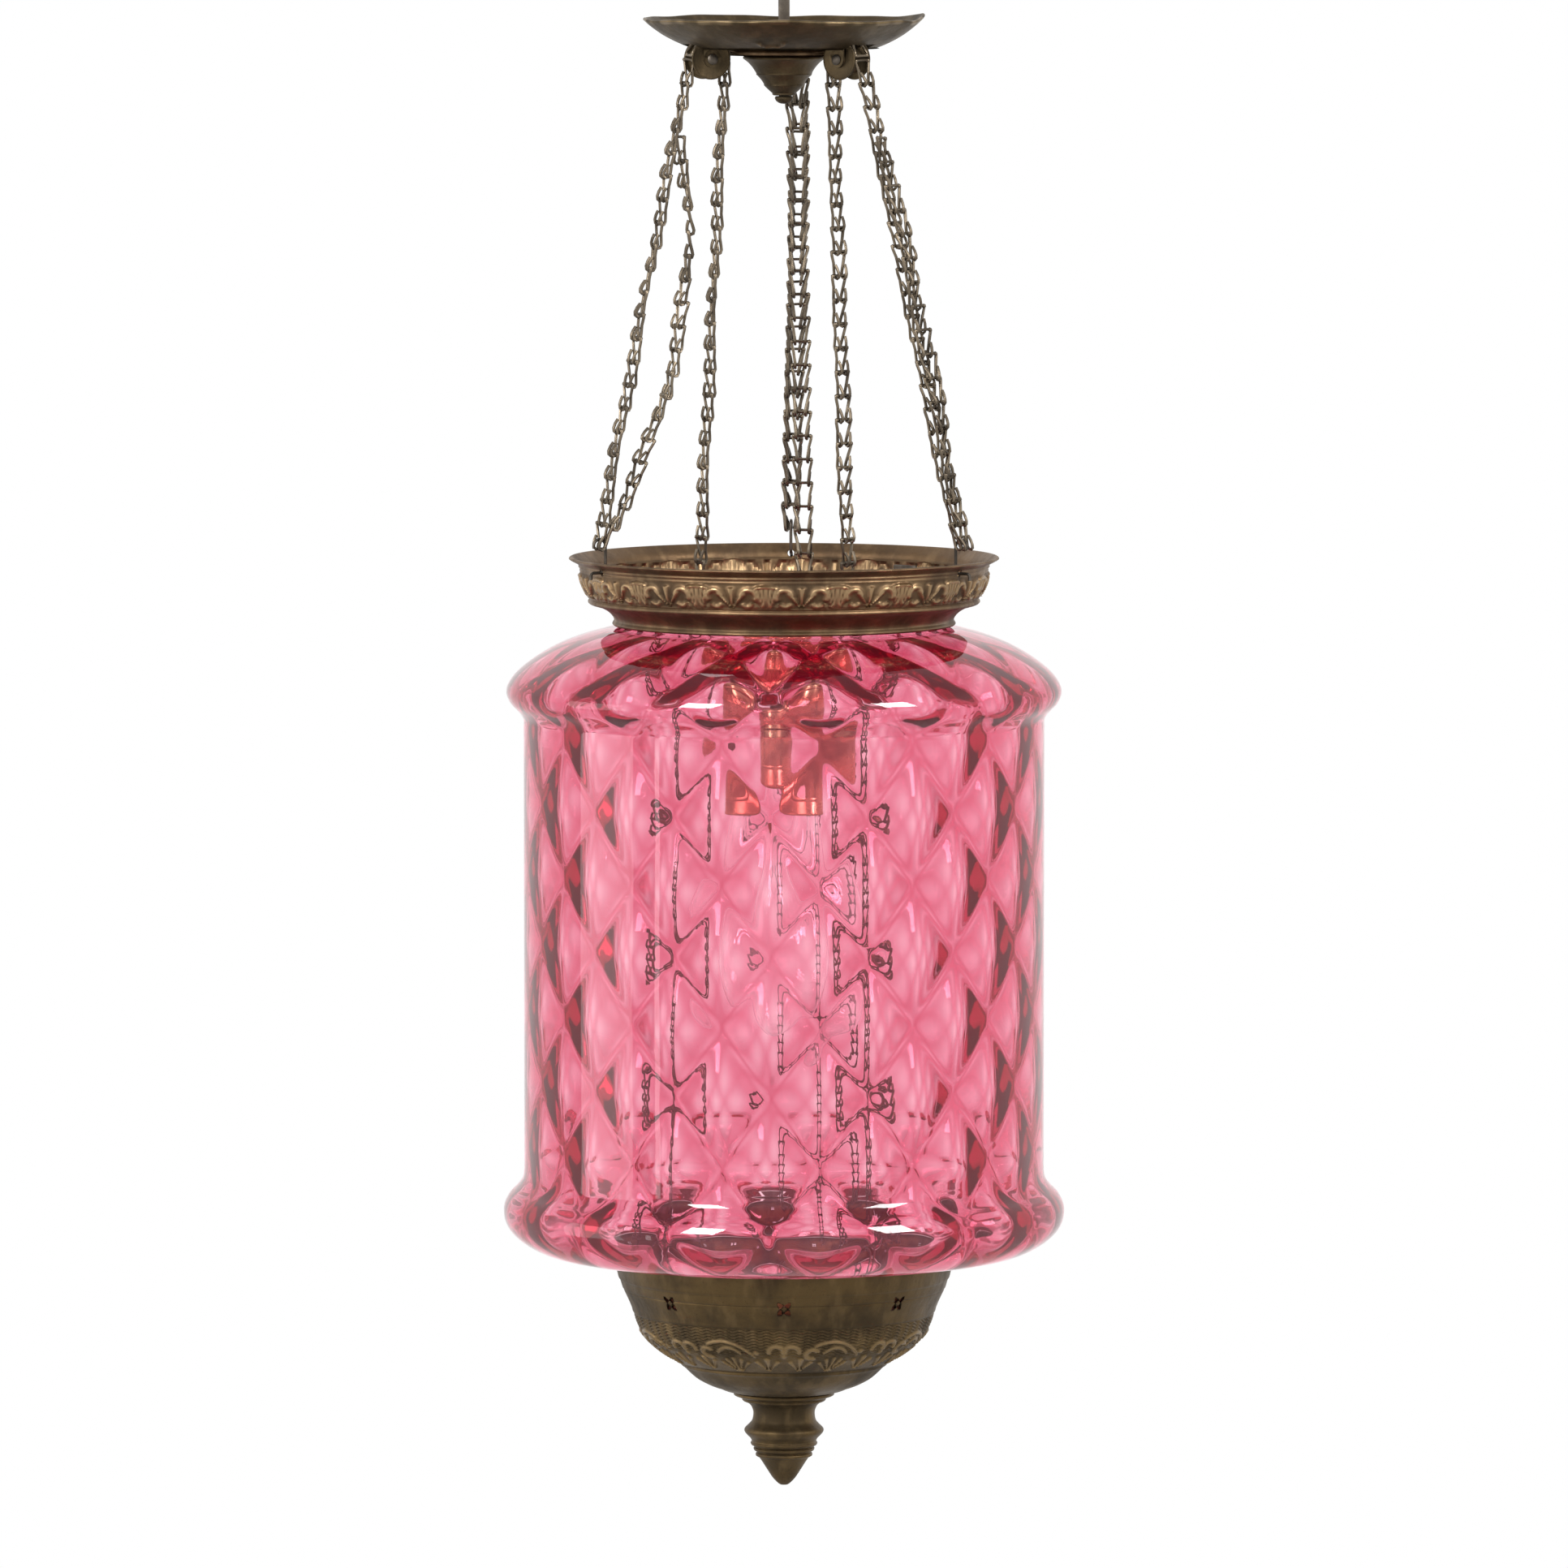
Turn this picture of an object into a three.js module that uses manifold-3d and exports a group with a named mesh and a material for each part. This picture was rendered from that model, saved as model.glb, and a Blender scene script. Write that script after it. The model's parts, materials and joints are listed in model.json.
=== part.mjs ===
// A pull-down hall lamp: a quilted glass shade and a pierced bowl hang on three ladder chains over pulleys.
// Millimetres, +Z up. The origin is the point where the ceiling hook bears on the eye of the rod.
import * as THREE from "three";
import { mergeVertices } from "three/addons/utils/BufferGeometryUtils.js";
import Module from "manifold-3d";

const wasm = await Module();
wasm.setup();

// Clearances and stock
const SEAT_GAP = 0.3; // between pieces that touch
const RUNNING_GAP = 0.5; // between pieces that turn or slide on each other
const SHEET = 1.1; // pressed brass sheet
const WIRE = 1.4; // chain wire, thickness
const HOOK_WIRE = 1.4; // wire of the hooks
const ROUND = 32; // flats round a large turned piece
const MEDIUM_ROUND = 16; // flats round a middling turned piece
const SMALL_ROUND = 10; // flats round a small turned piece
const HOOK_SIDES = 5; // sides of a hook wire

// Hanging rod and canopy
const EYE_BORE = 9.2;
const EYE_WIRE = 3.2;
const ROD_SIDE = 5;
const CANOPY_RIM_RADIUS = 62.5;
const CANOPY_RIM_Z = -22;
const CANOPY_FLOOR_RADIUS = 41;
const CANOPY_FLOOR_Z = -34.6; // underside of the floor
const STUD_RADIUS = 2.2;
const DISC_RADIUS = 25.6;
const DISC_THICKNESS = 2.8;
const CONE_TOP_RADIUS = 18;
const CONE_BOTTOM_RADIUS = 5;
const CONE_HEIGHT = 17.4;
const CONE_STEP = 0.9; // how far each ridge of the cone stands out
const TIP_RADIUS = 4;
const TIP_HEIGHT = 3.4;
const NUT_FLATS = 9;
const NUT_HEIGHT = 4;

// Pulleys
const STATION_ANGLES = [200, 320, 80]; // degrees from +X
const PULLEY_REACH = 36; // from the lamp's axis to the pulley's axle
const PULLEY_Z = -39;
const FLANGE_RADIUS = 9;
const BARREL_RADIUS = 5.3;
const GROOVE_WIDTH = 9.2;
const FLANGE_THICKNESS = 1.1;
const PIN_RADIUS = 1.5;
const PIN_HEAD_RADIUS = 2.4;
const PIN_HEAD = 0.9;
const CHEEK = 1;
const BRACKET_DEPTH = 8;
const BRACKET_BOTTOM = 3.6; // below the axle
const BRACKET_FOOT = 4;

// Ladder chain
const LINK_PITCH = 10.6;
const RUNG_HALF = 3.5; // half the length of a rung
const RAIL_HOOK_HALF = 2.1; // half the distance between the rails where they hook the next rung down
const WRAP_RADIUS = 8.3; // of the chain on the pulley
const WRAP_END = 11; // degrees above level where the wrapped part ends
const RING_HOOK_TURN = 8; // degrees from a pulley round to its ring hook
const BOWL_HOOK_TURN = -6; // degrees from a pulley round to its bowl hook
const TAIL_OFFSET = 2.5; // between a tail and its run, at the two ends
const TAIL_TOP_Z = -73;
const TAIL_BULGES = [17, -1.5, -1.5]; // how far each tail hangs in from its run

// Crown ring
const RING_TOP_Z = -259.4;
const RING_LIP_RADIUS = 95.2;
const RING_COLLAR_RADIUS = 75.4;
const RING_HEIGHT = 30.2;
const FRIEZE_REPEATS = 18;
const FLATS_PER_REPEAT = 2;
const FRIEZE_TURN = -5; // degrees, so that a shell stands beside the front
const SHELL_RELIEF = 1.3;
const LEAF_RELIEF = 0.7;
const HOOK_HOLE_DROP = 4.4; // below the lip
const HOOK_HOLE_RADIUS = 1.6;
const RING_HOOK_INSET = 3.4; // from the lip to the middle of the hook's bend
const RING_HOOK_RISE = 7.4; // of the bend above the ring
const RING_HOOK_BEND = 2; // radius where the hook turns out through its hole
const RING_HOOK_END = 3; // turned down outside
const TOOL_REACH = 8; // of a cutting tool through a thin wall

// Glass shade
const GLASS_WALL = 3.2; // at its thinnest, in the middle of a diamond
const GLASS_NECK_RADIUS = 73.2;
const GLASS_RIM_RADIUS = 79.6;
const GLASS_RIM_THICKNESS = 2.4;
const GLASS_RIM_FLARE = 3; // height of the flare under the rim
const RIM_REST = 1; // height of the rim above the ring's sloping shoulder
const SHOULDER_RADIUS = 123.1;
const SHOULDER_Z = -318;
const SHOULDER_FALL = 16.5; // from the neck, before the shoulder turns down
const SHOULDER_LEDGE = 12.5; // from the shoulder's widest place down to the body
const BODY_RADIUS = 115.5;
const ROLL_RADIUS = 124.7;
const ROLL_Z = -549;
const ROLL_RISE = 16; // from the roll's widest place up to the body
const GLASS_BOTTOM_Z = -570;
const UNDERSIDE_RADIUS = 95; // where the roll has turned level
const MOUTH_RADIUS = 77;
const QUILT_REPEATS = 16;
const QUILT_HEIGHT = 62;
const QUILT_RELIEF = 3; // how much thicker the wall is where diamonds meet

// Lampholder and bulb
const STRAP_ANGLE = 47; // degrees from +X
const STRAP_WIDTH = 13;
const STRAP_THICKNESS = 2;
const STRAP_RISE = 7;
const NIPPLE_RADIUS = 5;
const NIPPLE_BORE = 3.4;
const NIPPLE_ABOVE = 8;
const NIPPLE_BELOW = 27;
const LOCKNUT_FLATS = 15;
const LOCKNUT_HEIGHT = 3;
const CAP_HEIGHT = 15;
const HOLDER_RADIUS = 19.5;
const HOLDER_HEIGHT = 56;
const HOLDER_WALL = 1.2;
const INSERT_HEIGHT = 18;
const CAP_COLLAR = 2; // height and width of the collar on top of the cap
const CAP_GRIP = 4; // how far the nipple reaches into the cap
const SHELL_BEAD = 0.6; // how far the bead at the shell's mouth stands out
const SHELL_BEAD_HEIGHT = 2;
const BULB_CAP_RADIUS = 13.2;
const BULB_CAP_HEIGHT = 27;
const BULB_CAP_TOP = 7; // height of the cone above the thread
const CONTACT_RADIUS = 5;
const CONTACT_HEIGHT = 2;
const STEM_SEAT = 3; // how far the stem reaches into the cap
const THREAD_TURNS = 3;
const THREAD_DEPTH = 0.9;
const BULB_RADIUS = 29;
const BULB_LENGTH = 114; // glass below the cap
const BULB_BELLY = 38; // from the bulb's bottom up to its widest place
const BULB_NECK_RADIUS = 12.6;
const BULB_WALL = 0.9;
const STEM_RADIUS = 4;
const STEM_HEIGHT = 30;
const FILAMENT_SPREAD = 8;
const FILAMENT_DROP = 20;
const FILAMENT_WIRE = 1;

// Bottom bowl and finial
const BOWL_RIM_RADIUS = 74.2;
const BOWL_FLANGE = 3.2; // how far the flange stands out from the rim
const BOWL_DEPTH = 61.3;
const VENT_COUNT = 8;
const VENT_ARM = 12;
const VENT_BAR = 4.4;
const VENT_DROP = 19.7; // below the flange
const VENT_TOOL = 16; // length of the tool that cuts a vent
const SCROLL_RELIEF = 1.3;
const BOWL_HOLE_RADIUS = 3.6;
const BOWL_HOOK_REACH = 54;
const BOWL_HOOK_Z = -566;
const BOWL_HOOK_FOOT_Z = -583;
const BOWL_HOOK_BEND = 4; // height over which the hook turns to the wall
const BOWL_HOOK_END = 7; // turned up along the wall
const FINIAL_LENGTH = 42;
const FINIAL_TOP_RADIUS = 22.4;
const FINIAL_NECK_RADIUS = 13.7;
const FINIAL_BEAD_RADIUS = 17.6;
const FINIAL_STUD_RADIUS = 3;
const FINIAL_STUD_ABOVE = 9;
const FINIAL_STUD_BELOW = 12.6; // into the finial
const FINIAL_NUT_FLATS = 10;
const WASHER_RADIUS = 9;
const WASHER_THICKNESS = 1.2;

// Finishes
const agedBrass = new THREE.MeshStandardMaterial({ color: 0x7a5f42, roughness: 0.5, metalness: 0.9 });
const darkBrass = new THREE.MeshStandardMaterial({ color: 0x5a4a38, roughness: 0.6, metalness: 0.85 });
const oliveBrass = new THREE.MeshStandardMaterial({ color: 0x655a3e, roughness: 0.55, metalness: 0.85 });
const chainSteel = new THREE.MeshStandardMaterial({ color: 0x5a5041, roughness: 0.6, metalness: 0.85 });
const iron = new THREE.MeshStandardMaterial({ color: 0x4c4238, roughness: 0.6, metalness: 0.85 });
const copper = new THREE.MeshStandardMaterial({ color: 0x9a5a34, roughness: 0.4, metalness: 0.95 });
const pinkGlass = new THREE.MeshStandardMaterial({ color: 0xd94a70, roughness: 0.08, metalness: 0 });
const clearGlass = new THREE.MeshStandardMaterial({ color: 0xf1f1ee, roughness: 0.05, metalness: 0 });
const ceramic = new THREE.MeshStandardMaterial({ color: 0xe8e2d4, roughness: 0.4, metalness: 0 });
const nickel = new THREE.MeshStandardMaterial({ color: 0xb8b4ac, roughness: 0.35, metalness: 0.95 });

const radians = THREE.MathUtils.degToRad;

// Meshes and solids

// Merges the corners that three.js repeats and drops the triangles that closed up at the axis.
function closed(geometry) {
  const bare = geometry.clone();
  bare.deleteAttribute("normal");
  bare.deleteAttribute("uv");
  const merged = mergeVertices(bare, 1e-4);
  const index = merged.index.array;
  const kept = [];
  for (let i = 0; i < index.length; i += 3) {
    const [a, b, c] = [index[i], index[i + 1], index[i + 2]];
    if (a !== b && b !== c && c !== a) kept.push(a, b, c);
  }
  merged.setIndex(kept);
  return merged;
}

function toSolid(geometry) {
  const mesh = closed(geometry);
  const vertProperties = new Float32Array(mesh.attributes.position.array);
  const triVerts = new Uint32Array(mesh.index.array);
  return new wasm.Manifold(new wasm.Mesh({ numProp: 3, vertProperties, triVerts }));
}

function toGeometry(solid) {
  const mesh = solid.getMesh();
  const geometry = new THREE.BufferGeometry();
  geometry.setAttribute("position", new THREE.BufferAttribute(new Float32Array(mesh.vertProperties), 3));
  geometry.setIndex([...mesh.triVerts]);
  geometry.computeVertexNormals();
  return geometry;
}

function joined(...geometries) {
  return toGeometry(geometries.map(toSolid).reduce((whole, piece) => whole.add(piece)));
}

function cutFrom(body, ...tools) {
  return toGeometry(tools.map(toSolid).reduce((left, tool) => left.subtract(tool), toSolid(body)));
}

function named(name, geometry, material) {
  const mesh = new THREE.Mesh(geometry, material);
  mesh.name = name;
  return mesh;
}

// Turns an outline of [radius, z] points round the vertical axis. The outline runs anticlockwise.
function turned(outline, flats = ROUND) {
  const points = outline.map(([radius, z]) => new THREE.Vector2(radius, z));
  if (outline[0][0] > 0) points.push(points[0].clone());
  return new THREE.LatheGeometry(points, flats).rotateX(Math.PI / 2);
}

function disc(radius, top, bottom, flats = SMALL_ROUND) {
  return turned([[0, bottom], [radius, bottom], [radius, top], [0, top]], flats);
}

function rod(radius, start, end, flats = SMALL_ROUND) {
  const length = start.distanceTo(end);
  const geometry = new THREE.CylinderGeometry(radius, radius, length, flats);
  const turn = new THREE.Quaternion().setFromUnitVectors(
    new THREE.Vector3(0, 1, 0),
    end.clone().sub(start).normalize(),
  );
  const middle = start.clone().add(end).multiplyScalar(0.5);
  return geometry.applyQuaternion(turn).translate(middle.x, middle.y, middle.z);
}

function block(width, depth, bottom, top) {
  return new THREE.BoxGeometry(width, depth, top - bottom).translate(0, 0, (top + bottom) / 2);
}

function hexagon(acrossFlats, bottom, top, bore) {
  const toCorner = 1 / Math.cos(Math.PI / 6);
  const [corner, hole] = [(acrossFlats / 2) * toCorner, bore * toCorner];
  const outline = [[hole, bottom], [corner, bottom], [corner, top], [hole, top]];
  return turned(outline, 6);
}

// A wire that bends at each of its points.
class BentWire extends THREE.Curve {
  constructor(points) {
    super();
    this.points = points;
  }
  getPoint(t, target = new THREE.Vector3()) {
    const last = this.points.length - 1;
    const place = Math.min(Math.max(t, 0), 1) * last;
    const low = Math.min(Math.floor(place), last - 1);
    return target.copy(this.points[low]).lerp(this.points[low + 1], place - low);
  }
  getPointAt(u, target) {
    return this.getPoint(u, target);
  }
  getTangentAt(u, target) {
    return this.getTangent(u, target);
  }
}

function wire(points, thickness, sides) {
  const section = new THREE.Shape();
  for (let i = 0; i < sides; i++) {
    const angle = (i / sides) * 2 * Math.PI;
    const [x, y] = [(thickness / 2) * Math.cos(angle), (thickness / 2) * Math.sin(angle)];
    if (i === 0) section.moveTo(x, y);
    else section.lineTo(x, y);
  }
  const path = new BentWire(points);
  return new THREE.ExtrudeGeometry(section, { steps: points.length - 1, extrudePath: path, bevelEnabled: false });
}

// Points of an arc in the X-Z plane, angles in degrees from +X.
function arcXZ(centreX, centreZ, radius, from, to, steps) {
  return Array.from({ length: steps + 1 }, (_, i) => {
    const angle = radians(from + ((to - from) * i) / steps);
    return new THREE.Vector3(centreX + radius * Math.cos(angle), 0, centreZ + radius * Math.sin(angle));
  });
}

function bezier(start, control, end, steps) {
  const curve = new THREE.QuadraticBezierCurve(
    new THREE.Vector2(...start),
    new THREE.Vector2(...control),
    new THREE.Vector2(...end),
  );
  return curve.getPoints(steps).map((point) => [point.x, point.y]);
}

// The inside of a sheet: its outer outline moved in by the thickness, square to the outline.
function inset(outline, thickness) {
  return outline.map(([radius, z], i) => {
    const before = outline[Math.max(i - 1, 0)];
    const after = outline[Math.min(i + 1, outline.length - 1)];
    const along = new THREE.Vector2(after[0] - before[0], after[1] - before[1]).normalize();
    return [radius + along.y * thickness, z - along.x * thickness];
  });
}

// Hanging rod and canopy
const floorTop = CANOPY_FLOOR_Z + SHEET;
const discTop = CANOPY_FLOOR_Z - SEAT_GAP;
const discBottom = discTop - DISC_THICKNESS;
const coneTop = discBottom - SEAT_GAP;
const coneBottom = coneTop - CONE_HEIGHT;
const tipTop = coneBottom - SEAT_GAP;
const tipBottom = tipTop - TIP_HEIGHT;
const studClearance = STUD_RADIUS + SEAT_GAP;

function hangingRod() {
  const eyeRadius = EYE_BORE / 2 + EYE_WIRE / 2;
  const eyeCentre = -EYE_BORE / 2;
  const eye = new THREE.TorusGeometry(eyeRadius, EYE_WIRE / 2, 6, 12).rotateX(Math.PI / 2);
  eye.translate(0, 0, eyeCentre);
  const barTop = eyeCentre - eyeRadius;
  const bar = block(ROD_SIDE, ROD_SIDE, floorTop + SEAT_GAP, barTop);
  const stud = disc(STUD_RADIUS, floorTop + ROD_SIDE, tipBottom + TIP_HEIGHT / 2);
  return joined(eye, bar, stud);
}

function canopyDish() {
  const wall = bezier(
    [CANOPY_FLOOR_RADIUS, CANOPY_FLOOR_Z],
    [(CANOPY_FLOOR_RADIUS + 2 * CANOPY_RIM_RADIUS) / 3, (2 * CANOPY_FLOOR_Z + CANOPY_RIM_Z) / 3],
    [CANOPY_RIM_RADIUS, CANOPY_RIM_Z],
    3,
  );
  const under = [[studClearance, CANOPY_FLOOR_Z], ...wall];
  const over = inset(wall, -SHEET).reverse();
  const dish = turned([...under, ...over, [studClearance, floorTop]]);
  const slotLength = 2 * (FLANGE_RADIUS + 2 * RUNNING_GAP);
  const slotWidth = GROOVE_WIDTH + 2 * (FLANGE_THICKNESS + CHEEK + 2 * RUNNING_GAP);
  const slots = STATION_ANGLES.map((angle) => {
    const slot = block(slotLength, slotWidth, CANOPY_FLOOR_Z - SHEET, CANOPY_RIM_Z);
    return slot.translate(PULLEY_REACH, 0, 0).rotateZ(radians(angle));
  });
  return cutFrom(dish, ...slots);
}

function canopyDisc() {
  const roll = DISC_THICKNESS / 2;
  const middle = discTop - roll;
  const edge = [-90, -30, 30, 90].map((angle) => [
    DISC_RADIUS - roll + roll * Math.cos(radians(angle)),
    middle + roll * Math.sin(radians(angle)),
  ]);
  return turned([[studClearance, discBottom], ...edge, [studClearance, discTop]], MEDIUM_ROUND);
}

function canopyCone() {
  const at = (share, extra) => [
    THREE.MathUtils.lerp(CONE_BOTTOM_RADIUS, CONE_TOP_RADIUS, share) + extra,
    coneBottom + share * CONE_HEIGHT,
  ];
  const outer = [at(0, 0), at(0.22, 0), at(0.25, CONE_STEP), at(0.3, 0)];
  outer.push(at(0.52, 0), at(0.55, CONE_STEP), at(0.6, 0), at(1, 0));
  const wallTop = [CONE_TOP_RADIUS - SHEET, coneTop];
  const inner = [wallTop, [CONE_BOTTOM_RADIUS, coneBottom + SHEET], [studClearance, coneBottom + SHEET]];
  return turned([[studClearance, coneBottom], ...outer, ...inner], MEDIUM_ROUND);
}

function coneTip() {
  const dome = [90, 60, 30, 0].map((angle) => [
    TIP_RADIUS * Math.cos(radians(angle)),
    tipTop - TIP_HEIGHT * Math.sin(radians(angle)),
  ]);
  const bore = STUD_RADIUS + SEAT_GAP;
  const boreEnd = tipBottom + TIP_HEIGHT / 2 - SEAT_GAP;
  return turned([...dome, [bore, tipTop], [bore, boreEnd], [0, boreEnd]], SMALL_ROUND);
}

function clampNut() {
  return hexagon(NUT_FLATS, discBottom - SEAT_GAP - NUT_HEIGHT, discBottom - SEAT_GAP, studClearance);
}

// Pulleys, each in a frame whose +X points out from the lamp's axis
const wheelHalf = GROOVE_WIDTH / 2 + FLANGE_THICKNESS;
const cheekInner = wheelHalf + RUNNING_GAP;
const cheekOuter = cheekInner + CHEEK;
const bridgeBottom = PULLEY_Z + WRAP_RADIUS + WIRE / 2 + RUNNING_GAP;

function pulleyWheel() {
  const bore = PIN_RADIUS + SEAT_GAP;
  const outline = [
    [bore, -wheelHalf],
    [FLANGE_RADIUS, -wheelHalf],
    [FLANGE_RADIUS, -GROOVE_WIDTH / 2],
    [BARREL_RADIUS, -GROOVE_WIDTH / 2],
    [BARREL_RADIUS, GROOVE_WIDTH / 2],
    [FLANGE_RADIUS, GROOVE_WIDTH / 2],
    [FLANGE_RADIUS, wheelHalf],
    [bore, wheelHalf],
  ];
  return turned(outline, SMALL_ROUND).rotateX(Math.PI / 2);
}

function pulleyPin() {
  const shank = cheekOuter + SEAT_GAP;
  const outline = [
    [0, -shank - PIN_HEAD],
    [PIN_HEAD_RADIUS, -shank - PIN_HEAD],
    [PIN_HEAD_RADIUS, -shank],
    [PIN_RADIUS, -shank],
    [PIN_RADIUS, shank],
    [PIN_HEAD_RADIUS, shank],
    [PIN_HEAD_RADIUS, shank + PIN_HEAD],
    [0, shank + PIN_HEAD],
  ];
  return turned(outline, 8).rotateX(Math.PI / 2);
}

function pulleyBracket() {
  const footBottom = floorTop + SEAT_GAP;
  const footTop = footBottom + CHEEK;
  const bottom = PULLEY_Z - BRACKET_BOTTOM;
  const top = bridgeBottom + CHEEK;
  const half = [
    [cheekInner, bridgeBottom],
    [cheekInner, bottom],
    [cheekOuter, bottom],
    [cheekOuter, footBottom],
    [cheekOuter + BRACKET_FOOT, footBottom],
    [cheekOuter + BRACKET_FOOT, footTop],
    [cheekOuter, footTop],
    [cheekOuter, top],
  ];
  const mirrored = half.map(([y, z]) => [-y, z]).reverse();
  const shape = new THREE.Shape([...half, ...mirrored].map(([y, z]) => new THREE.Vector2(y, z)));
  const strap = new THREE.ExtrudeGeometry(shape, { depth: BRACKET_DEPTH, bevelEnabled: false });
  strap.translate(0, 0, -BRACKET_DEPTH / 2).rotateX(Math.PI / 2).rotateZ(Math.PI / 2);
  const reach = cheekOuter + CHEEK;
  const hole = rod(PIN_RADIUS + SEAT_GAP, new THREE.Vector3(0, -reach, PULLEY_Z), new THREE.Vector3(0, reach, PULLEY_Z), 8);
  return cutFrom(strap, hole).translate(PULLEY_REACH, 0, 0);
}

// Ladder chain. Each link is a rung with two rails that close in above the next rung down. It is drawn flat
// and upside down, x across the chain, then turned over end to end, so that y runs down from 0.
// Gives the corners of one face, its triangles, and its edges, clockwise round the outside.
function ladderFace(count, pitch, waisted) {
  const half = WIRE / 2;
  const wide = RUNG_HALF + half;
  const narrow = waisted ? RAIL_HOOK_HALF + half : wide;
  const [holeTop, holeBottom] = [narrow - WIRE, RUNG_HALF - half];
  const corners = [];
  const triangles = [];
  const row = (y, ...reaches) => {
    const first = corners.length;
    for (const x of [...reaches, ...reaches.map((reach) => -reach).reverse()]) corners.push([x, y]);
    return Array.from({ length: 2 * reaches.length }, (_, i) => first + i);
  };
  // Joins two rows of corners, both written from right to left, the upper one first
  const fill = (upper, lower) => {
    let [u, l] = [0, 0];
    while (u < upper.length - 1 || l < lower.length - 1) {
      const lowerNext = u === upper.length - 1 || (l < lower.length - 1 && 2 * l < lower.length - 1 + 2 * u);
      if (lowerNext) triangles.push([upper[u], lower[l + 1], lower[l++]]);
      else triangles.push([upper[u], upper[++u], lower[l]]);
    }
  };
  const below = (y, last) => {
    if (last) return row(y, wide);
    return waisted ? row(y, wide, narrow, holeTop) : row(y, wide, holeTop);
  };
  const top = row(half, wide);
  let under = below(-half, false);
  fill(top, under);
  const edges = [[top[1], top[0]], [top[0], under[0]], [under.at(-1), top[1]]];
  for (let i = 1; i <= count; i++) {
    const [rightOuter, leftOuter] = waisted ? [under[1], under.at(-2)] : [under[0], under.at(-1)];
    const [rightInner, leftInner] = waisted ? [under[2], under.at(-3)] : [under[1], under.at(-2)];
    const over = row(-i * pitch + half, holeBottom);
    const next = below(-i * pitch - half, i === count);
    triangles.push([rightOuter, rightInner, over[0]], [rightOuter, over[0], next[0]]);
    triangles.push([leftInner, leftOuter, over[1]], [over[1], leftOuter, next.at(-1)]);
    fill(over, next);
    if (waisted) edges.push([under[0], rightOuter], [leftOuter, under.at(-1)]);
    edges.push([rightOuter, next[0]], [next.at(-1), leftOuter]);
    edges.push([over[0], rightInner], [rightInner, leftInner], [leftInner, over[1]], [over[1], over[0]]);
    under = next;
  }
  edges.push([under[0], under[1]]);
  const upright = corners.map(([x, y]) => [-x, -count * pitch - y]);
  return { corners: upright, triangles, edges };
}

// A run of links along a curve, its rungs square to the curve and parallel to the tangent direction
function chainRun(curve, waisted = true, count = Math.round(curve.getLength() / LINK_PITCH)) {
  const length = curve.getLength();
  const { corners, triangles, edges } = ladderFace(count, length / count, waisted);
  const positions = [];
  for (const side of [WIRE / 2, -WIRE / 2]) {
    for (const [x, y] of corners) {
      const share = THREE.MathUtils.clamp(-y / length, 0, 1);
      const direction = curve.getTangentAt(share);
      const outward = direction.clone().cross(tangent).normalize();
      const point = curve.getPointAt(share).addScaledVector(direction, -y - share * length);
      point.addScaledVector(tangent, x).addScaledVector(outward, side);
      positions.push(point.x, point.y, point.z);
    }
  }
  const back = corners.length;
  const index = [];
  for (const [a, b, c] of triangles) index.push(a, b, c, a + back, c + back, b + back);
  for (const [a, b] of edges) index.push(b, b + back, a, a, b + back, a + back);
  const run = new THREE.BufferGeometry();
  run.setAttribute("position", new THREE.Float32BufferAttribute(positions, 3));
  run.setIndex(index);
  run.computeVertexNormals();
  return run;
}

const tangent = new THREE.Vector3(0, 1, 0);

function around(radius, degrees, z) {
  return new THREE.Vector3(radius * Math.cos(radians(degrees)), radius * Math.sin(radians(degrees)), z);
}

function wrapPoint(degrees) {
  return new THREE.Vector3(
    PULLEY_REACH + WRAP_RADIUS * Math.cos(radians(degrees)),
    0,
    PULLEY_Z + WRAP_RADIUS * Math.sin(radians(degrees)),
  );
}

// The arc of chain that lies over a pulley, from its outer to its inner side
class WrapArc extends THREE.Curve {
  getPoint(t, target = new THREE.Vector3()) {
    return target.copy(wrapPoint(THREE.MathUtils.lerp(WRAP_END, 180 - WRAP_END, t)));
  }
}

function wrappedChain() {
  return chainRun(new WrapArc(), true, 2);
}

// A straight run of chain starts just below the rung where the wrapped part ends.
function straightRun(start, end, waisted) {
  const down = end.clone().sub(start).normalize();
  const top = start.clone().addScaledVector(down, WIRE + SEAT_GAP);
  return chainRun(new THREE.LineCurve3(top, end), waisted);
}

const hookLoop = 1.15 * WIRE + 2 * SEAT_GAP + HOOK_WIRE / 2; // mean radius of the ring hook's bend, round two rungs
const ringHookReach = RING_LIP_RADIUS - RING_HOOK_INSET;
const ringHookZ = RING_TOP_Z + RING_HOOK_RISE;
const hookHoleZ = RING_TOP_Z - HOOK_HOLE_DROP;
const innerRung = around(ringHookReach - (WIRE + SEAT_GAP) / 2, RING_HOOK_TURN, ringHookZ);
const outerRung = around(ringHookReach + (WIRE + SEAT_GAP) / 2, RING_HOOK_TURN, ringHookZ);

// The run and the tail share the ring hook. A tail that hangs in takes the inner place.
function outerChain(bulge) {
  return straightRun(wrapPoint(WRAP_END), bulge > 0 ? outerRung : innerRung, true);
}

function innerChain() {
  const end = around(BOWL_HOOK_REACH, BOWL_HOOK_TURN, BOWL_HOOK_Z);
  return straightRun(wrapPoint(180 - WRAP_END), end, false);
}

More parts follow.
